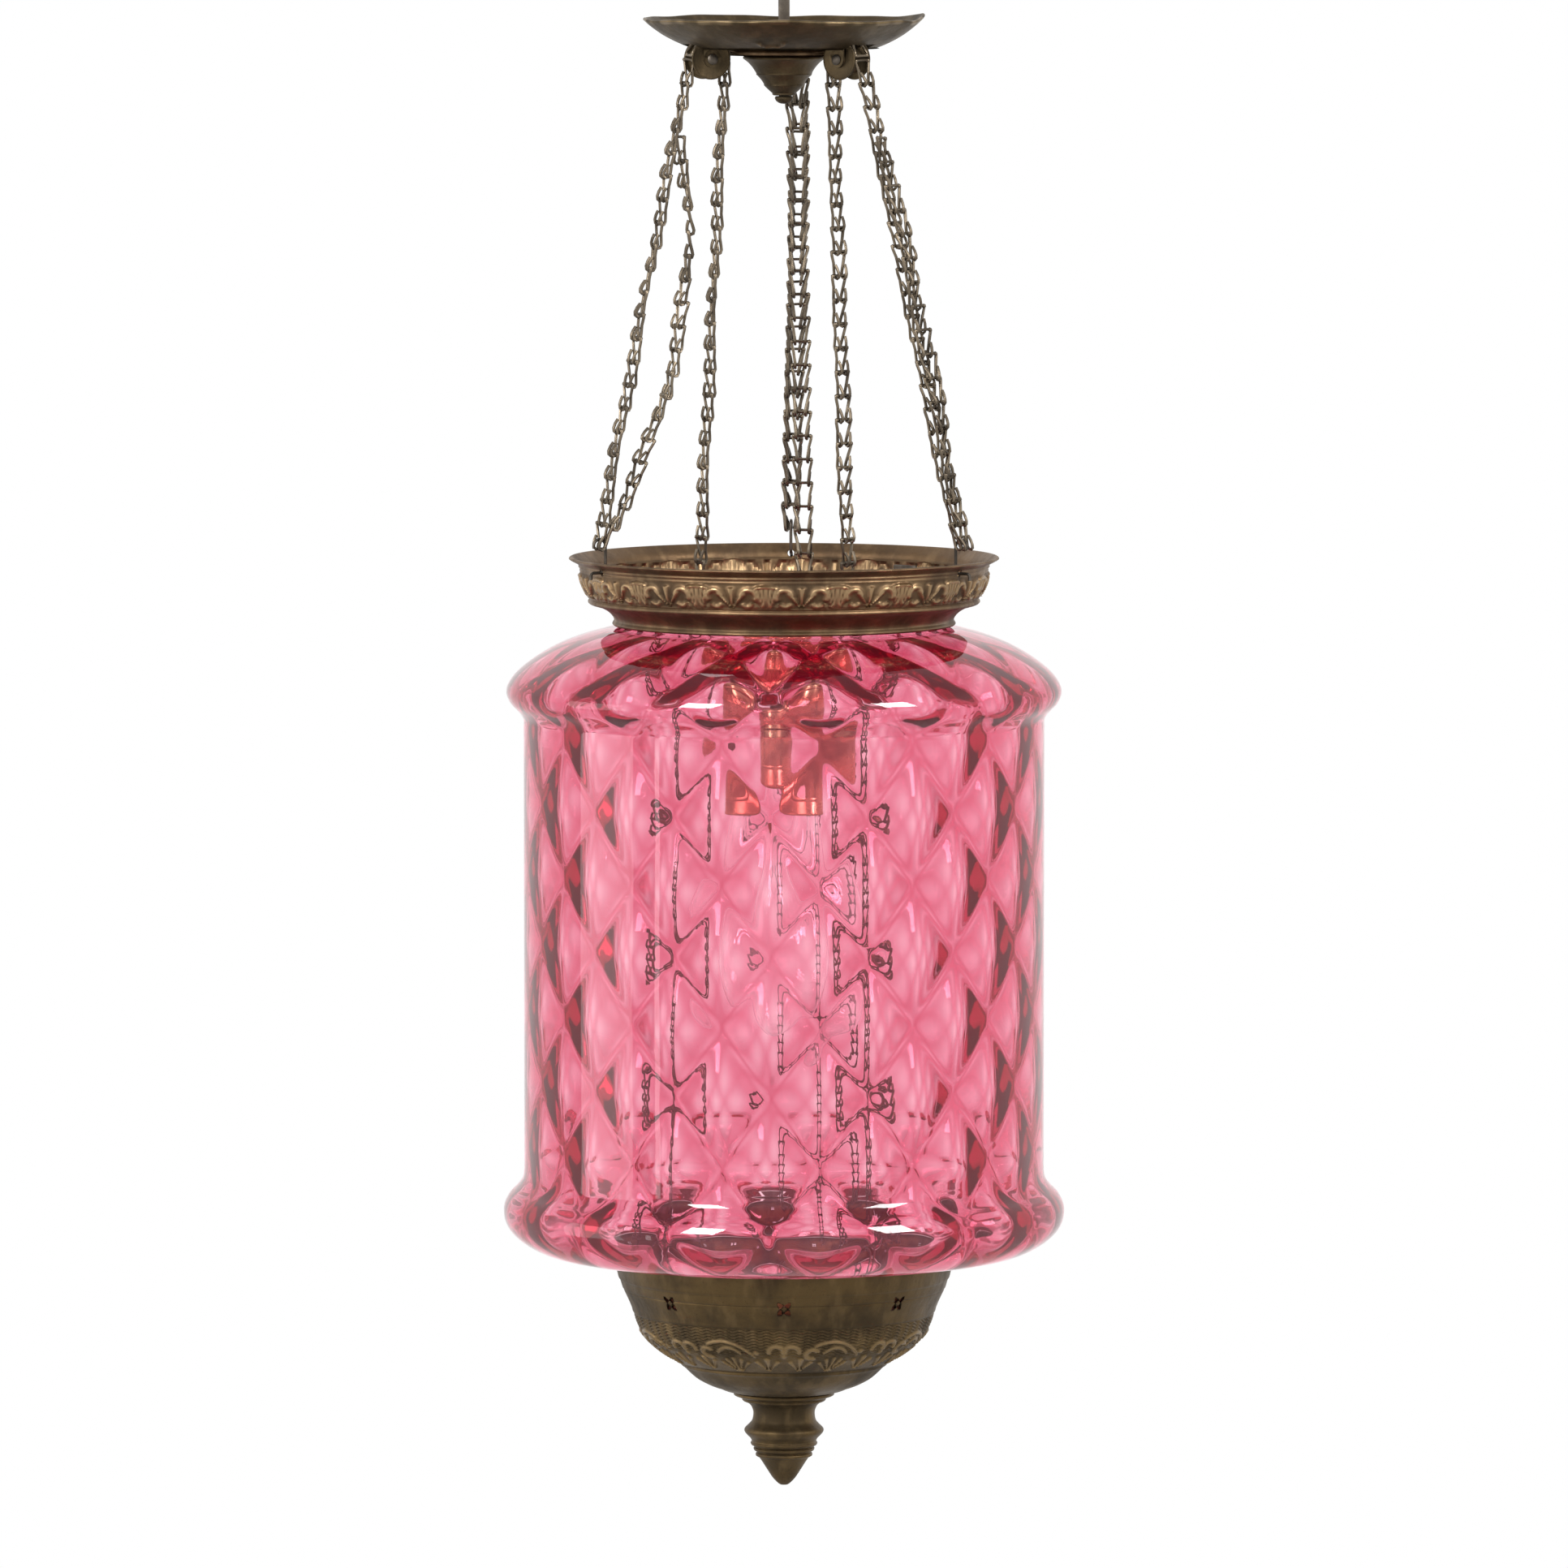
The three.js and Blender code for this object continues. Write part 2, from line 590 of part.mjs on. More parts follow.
// The spare chain that runs back up from the ring hook and hangs beside the outer run.
function chainTail(bulge) {
  const start = wrapPoint(WRAP_END);
  const [runEnd, tailEnd] = bulge > 0 ? [outerRung, innerRung] : [innerRung, outerRung];
  const share = (start.z - TAIL_TOP_Z) / (start.z - runEnd.z);
  const top = start.clone().lerp(runEnd, share);
  top.x -= Math.sign(bulge) * TAIL_OFFSET;
  const middle = top.clone().lerp(tailEnd, 0.5);
  middle.x -= 2 * bulge;
  return chainRun(new THREE.QuadraticBezierCurve3(top, middle, tailEnd));
}

// Bent wire from the chain's last rungs down through the hole in the ring's flare
function ringHook() {
  const inside = ringHookReach - hookLoop;
  const loop = arcXZ(ringHookReach, ringHookZ, hookLoop, -20, 180, 6);
  const bend = arcXZ(inside + RING_HOOK_BEND, hookHoleZ + RING_HOOK_BEND, RING_HOOK_BEND, 180, 270, 3);
  const outside = RING_LIP_RADIUS + HOOK_WIRE / 2;
  const end = [new THREE.Vector3(outside, 0, hookHoleZ), new THREE.Vector3(outside, 0, hookHoleZ - RING_HOOK_END)];
  return wire([...loop, ...bend, ...end], HOOK_WIRE, HOOK_SIDES).rotateZ(radians(RING_HOOK_TURN));
}

// Crown ring
const collarBottomZ = RING_TOP_Z - RING_HEIGHT;
const ringShoulder = ringPoint(0.273, 0.715);
const ringShoulderZ = ringShoulder[1];

// A point of the ring's outline, by its share of the way from collar to lip and from top to bottom
function ringPoint(across, down) {
  return [THREE.MathUtils.lerp(RING_COLLAR_RADIUS, RING_LIP_RADIUS, across), RING_TOP_Z - down * RING_HEIGHT];
}

function crownRing() {
  const friezeMiddle = ringPoint(0.747, 0.43);
  const collar = ringPoint(0, 0.94);
  const friezeFoot = ringPoint(0.667, 0.589);
  const flare = [ringPoint(0.788, 0.258), ringPoint(0.848, 0.166), ringPoint(1, 0.033)];
  const lower = [ringPoint(0.015, 1), collar, ringPoint(0.162, 0.801), ringShoulder, ringPoint(0.576, 0.649)];
  const outer = [...lower, friezeFoot, friezeMiddle, ...flare, ringPoint(0.97, 0)];
  const inside = inset([collar, ringShoulder, friezeFoot, ...flare], -SHEET).reverse();
  const inner = [...inside, [RING_COLLAR_RADIUS - SHEET, collarBottomZ]];
  const ring = turned([...outer, ...inner], FRIEZE_REPEATS * FLATS_PER_REPEAT);
  const position = ring.attributes.position;
  for (let i = 0; i < position.count; i++) {
    const [x, y, z] = [position.getX(i), position.getY(i), position.getZ(i)];
    const radius = Math.hypot(x, y);
    if (Math.abs(z - friezeMiddle[1]) > 0.01 || Math.abs(radius - friezeMiddle[0]) > 0.01) continue;
    const phase = FRIEZE_REPEATS * (Math.atan2(y, x) + Math.PI / 2 - radians(FRIEZE_TURN));
    const shell = SHELL_RELIEF * Math.max(0, Math.cos(phase));
    const leaf = LEAF_RELIEF * Math.max(0, -Math.cos(phase));
    const scale = (radius + shell + leaf) / radius;
    position.setXYZ(i, x * scale, y * scale, z);
  }
  const holes = STATION_ANGLES.map((angle) => {
    const turn = angle + RING_HOOK_TURN;
    const inside = around(RING_LIP_RADIUS - TOOL_REACH, turn, hookHoleZ);
    return rod(HOOK_HOLE_RADIUS, inside, around(RING_LIP_RADIUS + TOOL_REACH, turn, hookHoleZ), 8);
  });
  return cutFrom(ring, ...holes);
}

// Glass shade, smooth outside and quilted inside
const glassRimBottom = ringShoulderZ + SHEET + SEAT_GAP + RIM_REST;
const glassRimTop = glassRimBottom + GLASS_RIM_THICKNESS;

function glassShade() {
  const neckZ = collarBottomZ - SEAT_GAP;
  const shoulderTurn = [SHOULDER_RADIUS, neckZ - SHOULDER_FALL];
  const shoulder = bezier([GLASS_NECK_RADIUS, neckZ], shoulderTurn, [SHOULDER_RADIUS, SHOULDER_Z], 5);
  const ledge = (out, down) => [THREE.MathUtils.lerp(BODY_RADIUS, SHOULDER_RADIUS, out), SHOULDER_Z - down * SHOULDER_LEDGE];
  const swell = (out, up) => [THREE.MathUtils.lerp(BODY_RADIUS, ROLL_RADIUS, out), ROLL_Z + up * ROLL_RISE];
  const roll = bezier(swell(0, 1), swell(0.76, 0.56), swell(1, 0), 2);
  const rollDepth = ROLL_Z - GLASS_BOTTOM_Z;
  const rollReach = ROLL_RADIUS - UNDERSIDE_RADIUS;
  const under = [30, 60, 90].map((angle) => [
    ROLL_RADIUS - rollReach * (1 - Math.cos(radians(angle))),
    ROLL_Z - rollDepth * Math.sin(radians(angle)),
  ]);
  const outer = [
    [MOUTH_RADIUS, GLASS_BOTTOM_Z],
    ...under.reverse(),
    ...roll.reverse(),
    ledge(0, 1),
    ledge(0.74, 0.56),
    ...shoulder.reverse(),
    [GLASS_NECK_RADIUS, glassRimBottom - GLASS_RIM_FLARE],
    [GLASS_RIM_RADIUS, glassRimBottom],
    [GLASS_RIM_RADIUS, glassRimTop],
  ];
  const neckInner = GLASS_NECK_RADIUS - GLASS_WALL;
  const neckFoot = neckZ - GLASS_WALL;
  const inner = [
    [(GLASS_NECK_RADIUS + neckInner) / 2, glassRimTop],
    [neckInner, glassRimTop - GLASS_RIM_FLARE],
    [neckInner, neckFoot + SEAT_GAP],
  ];
  const shoulderInner = bezier(
    [neckInner, neckFoot],
    [SHOULDER_RADIUS - GLASS_WALL, neckFoot - SHOULDER_FALL],
    [SHOULDER_RADIUS - 1.3 * GLASS_WALL, SHOULDER_Z],
    3,
  );
  inner.push(...shoulderInner.slice(1));
  const wallInner = BODY_RADIUS - GLASS_WALL;
  const quiltTop = SHOULDER_Z - QUILT_HEIGHT / 4;
  const quiltBottom = ROLL_Z + QUILT_HEIGHT / 4;
  const rows = Math.max(2, Math.round((quiltTop - quiltBottom) / (QUILT_HEIGHT / 2)));
  for (let row = 0; row <= rows; row++) {
    inner.push([wallInner, quiltTop + ((quiltBottom - quiltTop) * row) / rows]);
  }
  inner.push([ROLL_RADIUS - GLASS_WALL, ROLL_Z]);
  inner.push([ROLL_RADIUS - 3 * GLASS_WALL, ROLL_Z - rollDepth * 0.55]);
  inner.push([UNDERSIDE_RADIUS, GLASS_BOTTOM_Z + GLASS_WALL]);
  inner.push([MOUTH_RADIUS, GLASS_BOTTOM_Z + 0.75 * GLASS_WALL]);
  const glass = turned([...outer, ...inner], 2 * QUILT_REPEATS);
  const position = glass.attributes.position;
  const rowHeight = (quiltTop - quiltBottom) / rows;
  for (let i = 0; i < position.count; i++) {
    const [x, y, z] = [position.getX(i), position.getY(i), position.getZ(i)];
    const radius = Math.hypot(x, y);
    const row = (quiltTop - z) / rowHeight;
    if (Math.abs(radius - wallInner) > 0.01 || Math.abs(row - Math.round(row)) > 0.001) continue;
    const wave = Math.cos(QUILT_REPEATS * Math.atan2(y, x)) * Math.cos(Math.PI * Math.round(row));
    const scale = (radius - QUILT_RELIEF * Math.max(0, wave)) / radius;
    position.setXYZ(i, x * scale, y * scale, z);
  }
  return glass;
}

// Lampholder on a strap across the glass rim
const strapBottom = glassRimTop + SEAT_GAP;
const strapTop = strapBottom + STRAP_THICKNESS;
const nippleClearance = NIPPLE_RADIUS + SEAT_GAP;
const capTop = strapTop - NIPPLE_BELOW;
const capBottom = capTop - CAP_HEIGHT;
const shellTop = capBottom - SEAT_GAP;
const shellBottom = shellTop - HOLDER_HEIGHT;
const insertTop = shellTop - SEAT_GAP - HOLDER_WALL;
const insertBottom = insertTop - INSERT_HEIGHT;
const bulbCapTop = insertBottom - SEAT_GAP;
const bulbCapBottom = bulbCapTop - BULB_CAP_HEIGHT;
const bulbTop = bulbCapBottom - SEAT_GAP;
const bulbBottom = bulbTop - BULB_LENGTH;

function holderStrap() {
  const reach = GLASS_RIM_RADIUS + STRAP_THICKNESS / 2;
  const profile = [
    [-reach, strapTop + STRAP_RISE],
    [-reach, strapBottom],
    [reach, strapBottom],
    [reach, strapTop + STRAP_RISE],
    [reach - STRAP_THICKNESS, strapTop + STRAP_RISE],
    [reach - STRAP_THICKNESS, strapTop],
    [STRAP_THICKNESS - reach, strapTop],
    [STRAP_THICKNESS - reach, strapTop + STRAP_RISE],
  ];
  const shape = new THREE.Shape(profile.map(([x, z]) => new THREE.Vector2(x, z)));
  const strap = new THREE.ExtrudeGeometry(shape, { depth: STRAP_WIDTH, bevelEnabled: false });
  strap.translate(0, 0, -STRAP_WIDTH / 2).rotateX(Math.PI / 2);
  const hole = disc(nippleClearance, strapTop + 1, strapBottom - 1);
  return cutFrom(strap, hole).rotateZ(radians(STRAP_ANGLE));
}

function nipple() {
  const [top, bottom] = [strapTop + NIPPLE_ABOVE, capTop - CAP_GRIP];
  return turned([[NIPPLE_BORE, bottom], [NIPPLE_RADIUS, bottom], [NIPPLE_RADIUS, top], [NIPPLE_BORE, top]], SMALL_ROUND);
}

function locknut() {
  const bottom = strapTop + SEAT_GAP;
  return hexagon(LOCKNUT_FLATS, bottom, bottom + LOCKNUT_HEIGHT, nippleClearance);
}

function holderCap() {
  const collarRadius = NIPPLE_RADIUS + CAP_COLLAR;
  const collarFoot = capTop - CAP_COLLAR;
  const domeTurn = collarFoot - SHELL_BEAD_HEIGHT - SEAT_GAP;
  const dome = bezier([HOLDER_RADIUS, capBottom], [HOLDER_RADIUS, domeTurn], [collarRadius, collarFoot], 4);
  const outer = [...dome, [collarRadius, capTop], [nippleClearance, capTop], [nippleClearance, capTop - CAP_GRIP]];
  const wallInner = HOLDER_RADIUS - HOLDER_WALL;
  const under = [nippleClearance, collarFoot - 2 * HOLDER_WALL];
  const inner = bezier(under, [wallInner, domeTurn - HOLDER_WALL], [wallInner, capBottom], 3);
  return turned([...outer, ...inner], SMALL_ROUND);
}

function holderShell() {
  const inner = HOLDER_RADIUS - HOLDER_WALL;
  const beadTop = shellBottom + SHELL_BEAD_HEIGHT;
  const neck = nippleClearance + CAP_GRIP;
  const outline = [
    [inner, shellBottom],
    [HOLDER_RADIUS + SHELL_BEAD, shellBottom],
    [HOLDER_RADIUS + SHELL_BEAD, beadTop],
    [HOLDER_RADIUS, beadTop + SHELL_BEAD],
    [HOLDER_RADIUS, shellTop],
    [neck, shellTop],
    [neck, shellTop - HOLDER_WALL],
    [inner, shellTop - HOLDER_WALL],
  ];
  return turned(outline, SMALL_ROUND);
}

function socketInsert() {
  return disc(HOLDER_RADIUS - HOLDER_WALL - SEAT_GAP, insertTop, insertBottom);
}

const stemTop = bulbCapBottom + STEM_SEAT;

function bulbCap() {
  const thread = [];
  const length = BULB_CAP_HEIGHT - BULB_CAP_TOP;
  const pitch = length / THREAD_TURNS;
  for (let i = 0; i < THREAD_TURNS; i++) {
    const z = bulbCapBottom + i * pitch;
    thread.push([BULB_CAP_RADIUS - THREAD_DEPTH, z], [BULB_CAP_RADIUS, z + pitch / 2]);
  }
  const contact = [[CONTACT_RADIUS, bulbCapTop - CONTACT_HEIGHT], [CONTACT_RADIUS, bulbCapTop], [0, bulbCapTop]];
  const top = [[BULB_CAP_RADIUS - THREAD_DEPTH, bulbCapBottom + length], ...contact];
  const bore = STEM_RADIUS + SEAT_GAP;
  return turned([[0, stemTop], [bore, stemTop], [bore, bulbCapBottom], ...thread, ...top], SMALL_ROUND);
}

function bulbGlass() {
  const centre = bulbBottom + BULB_BELLY;
  const ball = [-90, -60, -30, 0].map((angle) => [
    BULB_RADIUS * Math.cos(radians(angle)),
    centre + BULB_BELLY * Math.sin(radians(angle)),
  ]);
  const neck = bezier([BULB_RADIUS, centre], [BULB_RADIUS, centre + BULB_BELLY], [BULB_NECK_RADIUS, bulbTop], 4);
  const outer = [...ball, ...neck.slice(1)];
  const inner = inset(outer, -BULB_WALL).slice(1, -1).reverse();
  const rim = [[BULB_NECK_RADIUS - BULB_WALL, bulbTop], ...inner, [0, bulbBottom + BULB_WALL]];
  return turned([...outer, ...rim], SMALL_ROUND);
}

// Glass stem with two wires that spread and a filament between their ends
function filamentMount() {
  const stemEnd = bulbTop - STEM_HEIGHT;
  const stem = disc(STEM_RADIUS, stemTop - SEAT_GAP, stemEnd, 8);
  const low = stemEnd - FILAMENT_DROP;
  const at = (x, z) => new THREE.Vector3(x, 0, z);
  const rootX = STEM_RADIUS / 2 - FILAMENT_WIRE / 2;
  const rootZ = stemEnd + STEM_RADIUS / 2;
  const left = [at(-rootX, rootZ), at(-FILAMENT_SPREAD, low)];
  const right = [at(FILAMENT_SPREAD, low), at(rootX, rootZ)];
  const wires = wire([...left, at(0, low - 2 * FILAMENT_WIRE), ...right], FILAMENT_WIRE, 4);
  return joined(stem, wires);
}

// Bottom bowl
const flangeTop = GLASS_BOTTOM_Z - SEAT_GAP;
const bowlBottomZ = flangeTop - BOWL_DEPTH;
const bowlFloorTop = bowlBottomZ + SHEET;
const bowlBand = bowlPoint(0.9, 0.4);
const bowlRimFoot = bowlPoint(1, 0.033);
const scroll = bowlPoint(0.841, 0.56);

// A point of the bowl's outline, by its share of the rim's radius and of the depth
function bowlPoint(across, down) {
  return [across * BOWL_RIM_RADIUS, flangeTop - down * BOWL_DEPTH];
}

function bowlWallInside(z) {
  const share = (z - bowlBand[1]) / (bowlRimFoot[1] - bowlBand[1]);
  return THREE.MathUtils.lerp(bowlBand[0], bowlRimFoot[0], share) - SHEET;
}

function bottomBowl() {
  const cup = [bowlPoint(0.303, 1), bowlPoint(0.492, 0.892), bowlPoint(0.674, 0.742), bowlPoint(0.79, 0.641)];
  const band = [bowlPoint(0.884, 0.452), bowlBand, bowlPoint(0.957, 0.24), bowlRimFoot];
  const flangeRadius = BOWL_RIM_RADIUS + BOWL_FLANGE;
  const flange = [[flangeRadius, flangeTop - SHEET], [flangeRadius, flangeTop]];
  const outer = [[BOWL_HOLE_RADIUS, bowlBottomZ], ...cup, scroll, ...band, ...flange];
  const [foot, hip] = [bowlPoint(0.303, 1), bowlPoint(0.674, 0.742)];
  const inside = inset([foot, hip, bowlBand, bowlRimFoot], -SHEET).reverse();
  const inner = [[BOWL_RIM_RADIUS - SHEET, flangeTop], ...inside.slice(0, -1), [foot[0], bowlFloorTop]];
  inner.push([BOWL_HOLE_RADIUS, bowlFloorTop]);
  const bowl = turned([...outer, ...inner]);
  const position = bowl.attributes.position;
  for (let i = 0; i < position.count; i++) {
    const [x, y, z] = [position.getX(i), position.getY(i), position.getZ(i)];
    const radius = Math.hypot(x, y);
    if (Math.abs(radius - scroll[0]) > 0.01 || Math.abs(z - scroll[1]) > 0.01) continue;
    const relief = SCROLL_RELIEF * Math.max(0, -Math.cos(VENT_COUNT * Math.atan2(y, x)));
    position.setXYZ(i, (x * (radius + relief)) / radius, (y * (radius + relief)) / radius, z - relief);
  }
  const vents = [];
  for (let i = 0; i < VENT_COUNT; i++) vents.push(vent((360 * i) / VENT_COUNT));
  return cutFrom(bowl, ...vents);
}

// A cross-shaped hole through the wall of the bowl
function vent(degrees) {
  const corners = [];
  for (let eighth = 0; eighth < 8; eighth++) {
    const reach = eighth % 2 ? VENT_ARM / 2 : VENT_BAR / 2;
    const turn = radians(45 * eighth);
    corners.push(new THREE.Vector2(reach * Math.cos(turn), reach * Math.sin(turn)));
  }
  const cross = new THREE.ExtrudeGeometry(new THREE.Shape(corners), { depth: VENT_TOOL, bevelEnabled: false });
  cross.rotateX(Math.PI / 2).rotateZ(Math.PI / 2);
  return cross.translate(BOWL_RIM_RADIUS - 0.75 * VENT_TOOL, 0, flangeTop - VENT_DROP).rotateZ(radians(degrees));
}

// A bent hook riveted inside the bowl's rim, its eye under the chain's last rung
function bowlHook() {
  const loopRadius = 0.75 * WIRE + SEAT_GAP + HOOK_WIRE / 2;
  const loop = arcXZ(BOWL_HOOK_REACH, BOWL_HOOK_Z, loopRadius, -40, 180, 6);
  const foot = (z) => new THREE.Vector3(bowlWallInside(z) - SEAT_GAP - HOOK_WIRE, 0, z);
  const points = [
    ...loop,
    new THREE.Vector3(BOWL_HOOK_REACH - loopRadius, 0, BOWL_HOOK_FOOT_Z + BOWL_HOOK_BEND),
    new THREE.Vector3(BOWL_HOOK_REACH + loopRadius, 0, BOWL_HOOK_FOOT_Z),
    foot(BOWL_HOOK_FOOT_Z),
    foot(BOWL_HOOK_FOOT_Z + BOWL_HOOK_END),
  ];
  return wire(points, HOOK_WIRE, HOOK_SIDES).rotateZ(radians(BOWL_HOOK_TURN));
}

// Finial under the bowl
const finialTop = bowlBottomZ - SEAT_GAP;
const finialBottom = finialTop - FINIAL_LENGTH;

const finialBoreEnd = finialTop - FINIAL_STUD_BELOW;

function finial() {
  const at = (down, radius) => [radius, finialTop - down * FINIAL_LENGTH];
  const bore = FINIAL_STUD_RADIUS + SEAT_GAP;
  const drop = [
    [0, finialBottom],
    at(0.97, 0.23 * FINIAL_BEAD_RADIUS),
    at(0.72, 0.66 * FINIAL_BEAD_RADIUS),
    at(0.64, 0.73 * FINIAL_BEAD_RADIUS),
    at(0.5, 0.88 * FINIAL_BEAD_RADIUS),
    at(0.41, FINIAL_BEAD_RADIUS),
    at(0.32, 0.88 * FINIAL_BEAD_RADIUS),
  ];
  const neck = [
    at(0.26, FINIAL_NECK_RADIUS),
    at(0.15, FINIAL_NECK_RADIUS),
    at(0.1, 0.72 * FINIAL_TOP_RADIUS),
    at(0.05, 0.83 * FINIAL_TOP_RADIUS),
    at(0.03, FINIAL_TOP_RADIUS),
    at(0, FINIAL_TOP_RADIUS),
  ];
  return turned([...drop, ...neck, [bore, finialTop], [bore, finialBoreEnd], [0, finialBoreEnd]], MEDIUM_ROUND);
}

const washerBottom = bowlFloorTop + SEAT_GAP;
const washerTop = washerBottom + WASHER_THICKNESS;

function finialStud() {
  return disc(FINIAL_STUD_RADIUS, bowlFloorTop + FINIAL_STUD_ABOVE, finialBoreEnd + SEAT_GAP);
}

function finialWasher() {
  const bore = FINIAL_STUD_RADIUS + SEAT_GAP;
  const outline = [[bore, washerBottom], [WASHER_RADIUS, washerBottom], [WASHER_RADIUS, washerTop], [bore, washerTop]];
  return turned(outline, SMALL_ROUND);
}

function finialNut() {
  const bottom = washerTop + SEAT_GAP;
  return hexagon(FINIAL_NUT_FLATS, bottom, bottom + NUT_HEIGHT, FINIAL_STUD_RADIUS + SEAT_GAP);
}

// The assembly
const lamp = new THREE.Group();
lamp.add(named("hanging_rod", hangingRod(), iron));
lamp.add(named("canopy_dish", canopyDish(), darkBrass));
lamp.add(named("canopy_disc", canopyDisc(), agedBrass));
lamp.add(named("canopy_cone", canopyCone(), darkBrass));
lamp.add(named("canopy_nut", clampNut(), iron));
lamp.add(named("cone_tip", coneTip(), darkBrass));

const wheel = pulleyWheel();
const pin = pulleyPin();
const bracket = pulleyBracket();
const wrapped = wrappedChain();
const innerRun = innerChain();
const ringHookWire = ringHook();
const bowlHookWire = bowlHook();
STATION_ANGLES.forEach((angle, i) => {
  const station = new THREE.Group();
  const place = i + 1;
  const turning = new THREE.Group();
  turning.position.set(PULLEY_REACH, 0, PULLEY_Z);
  turning.add(named("pulley_wheel_" + place, wheel, agedBrass));
  turning.add(named("pulley_pin_" + place, pin, iron));
  station.add(turning);
  station.add(named("pulley_bracket_" + place, bracket, darkBrass));
  station.add(named("wrapped_chain_" + place, wrapped, chainSteel));
  station.add(named("outer_chain_" + place, outerChain(TAIL_BULGES[i]), chainSteel));
  station.add(named("inner_chain_" + place, innerRun, chainSteel));
  station.add(named("chain_tail_" + place, chainTail(TAIL_BULGES[i]), chainSteel));
  station.add(named("ring_hook_" + place, ringHookWire, iron));
  station.add(named("bowl_hook_" + place, bowlHookWire, iron));
  station.rotation.z = radians(angle);
  lamp.add(station);
});

lamp.add(named("crown_ring", crownRing(), agedBrass));
lamp.add(named("glass_shade", glassShade(), pinkGlass));
lamp.add(named("holder_strap", holderStrap(), iron));
lamp.add(named("holder_nipple", nipple(), agedBrass));
lamp.add(named("holder_locknut", locknut(), agedBrass));
lamp.add(named("holder_cap", holderCap(), copper));
lamp.add(named("holder_shell", holderShell(), copper));
lamp.add(named("socket_insert", socketInsert(), ceramic));
lamp.add(named("bulb_cap", bulbCap(), nickel));
lamp.add(named("bulb_glass", bulbGlass(), clearGlass));
lamp.add(named("filament_mount", filamentMount(), clearGlass));
lamp.add(named("bottom_bowl", bottomBowl(), oliveBrass));
lamp.add(named("finial", finial(), oliveBrass));
lamp.add(named("finial_stud", finialStud(), iron));
lamp.add(named("finial_washer", finialWasher(), agedBrass));
lamp.add(named("finial_nut", finialNut(), iron));

export default lamp;
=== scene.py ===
# %% [markdown]
# # A pull-down hall lamp in quilted glass
#
# The lamp hangs from a canopy by three ladder chains. Each chain runs over a pulley: its outer end carries the
# glass shade by a pressed brass crown ring, and its inner end carries a small brass bowl under the shade. Raise
# the shade and the bowl comes down, which is how such a lamp was cleaned and lit.
#
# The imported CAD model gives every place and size. This lesson dresses it: it models the chains link by link,
# presses the ornament into the brass, quilts the glass, and gives each finish its wear.

# %% Load the frame
import json
import math

import bpy
import numpy as np
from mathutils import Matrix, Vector

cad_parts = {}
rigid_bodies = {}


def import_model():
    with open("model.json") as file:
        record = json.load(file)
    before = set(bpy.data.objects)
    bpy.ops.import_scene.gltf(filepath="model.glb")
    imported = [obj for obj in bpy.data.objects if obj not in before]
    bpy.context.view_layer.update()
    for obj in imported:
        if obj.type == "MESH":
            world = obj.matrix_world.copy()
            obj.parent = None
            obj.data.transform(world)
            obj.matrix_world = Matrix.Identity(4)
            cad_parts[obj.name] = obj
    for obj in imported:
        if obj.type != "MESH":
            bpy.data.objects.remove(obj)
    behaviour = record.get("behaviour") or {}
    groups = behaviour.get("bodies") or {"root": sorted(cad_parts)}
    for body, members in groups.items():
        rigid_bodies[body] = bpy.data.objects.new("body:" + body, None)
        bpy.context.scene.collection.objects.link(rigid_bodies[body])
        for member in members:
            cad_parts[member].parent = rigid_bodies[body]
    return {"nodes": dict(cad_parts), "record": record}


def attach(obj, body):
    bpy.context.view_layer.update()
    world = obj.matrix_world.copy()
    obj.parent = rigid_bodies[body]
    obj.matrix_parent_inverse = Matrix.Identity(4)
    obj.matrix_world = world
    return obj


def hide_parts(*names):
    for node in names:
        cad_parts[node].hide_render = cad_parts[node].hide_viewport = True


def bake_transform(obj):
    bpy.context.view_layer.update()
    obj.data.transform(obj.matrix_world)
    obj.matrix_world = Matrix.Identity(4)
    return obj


bpy.ops.object.select_all(action="SELECT")
bpy.ops.object.delete()
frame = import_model()
bpy.ops.object.select_all(action="DESELECT")
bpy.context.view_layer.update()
scene = bpy.context.scene
MM = 0.001

# %% [markdown]
# ## Shader maths in plain Python
#
# A finish is a graph of nodes. Writing each Math node by hand hides the idea behind the wiring, so a small
# class wraps an output socket and turns `mask * 0.5 + noise` into nodes. Every other node comes from one
# method, which takes the kind of node, its settings and what goes into its sockets.


# %% The socket wrapper
class Value:
    """One output socket. Arithmetic on it adds Math nodes."""

    def __init__(self, finish, socket):
        self.finish = finish
        self.socket = socket

    def math(self, operation, *others):
        return self.finish.node("ShaderNodeMath", {"operation": operation}, dict(enumerate((self, *others))))

    def __add__(self, other):
        return self.math("ADD", other)

    def __radd__(self, other):
        return self.math("ADD", other)

    def __mul__(self, other):
        return self.math("MULTIPLY", other)

    def __rmul__(self, other):
        return self.math("MULTIPLY", other)

    def __sub__(self, other):
        return self.math("SUBTRACT", other)

    def __rsub__(self, other):
        return self.finish.node("ShaderNodeMath", {"operation": "SUBTRACT"}, {0: other, 1: self})

    def within(self, low, high):
        """0 below low, 1 above high and smooth between."""
        settings = {"interpolation_type": "SMOOTHSTEP"}
        return self.finish.node(
            "ShaderNodeMapRange", settings, {"Value": self, "From Min": low, "From Max": high}
        )


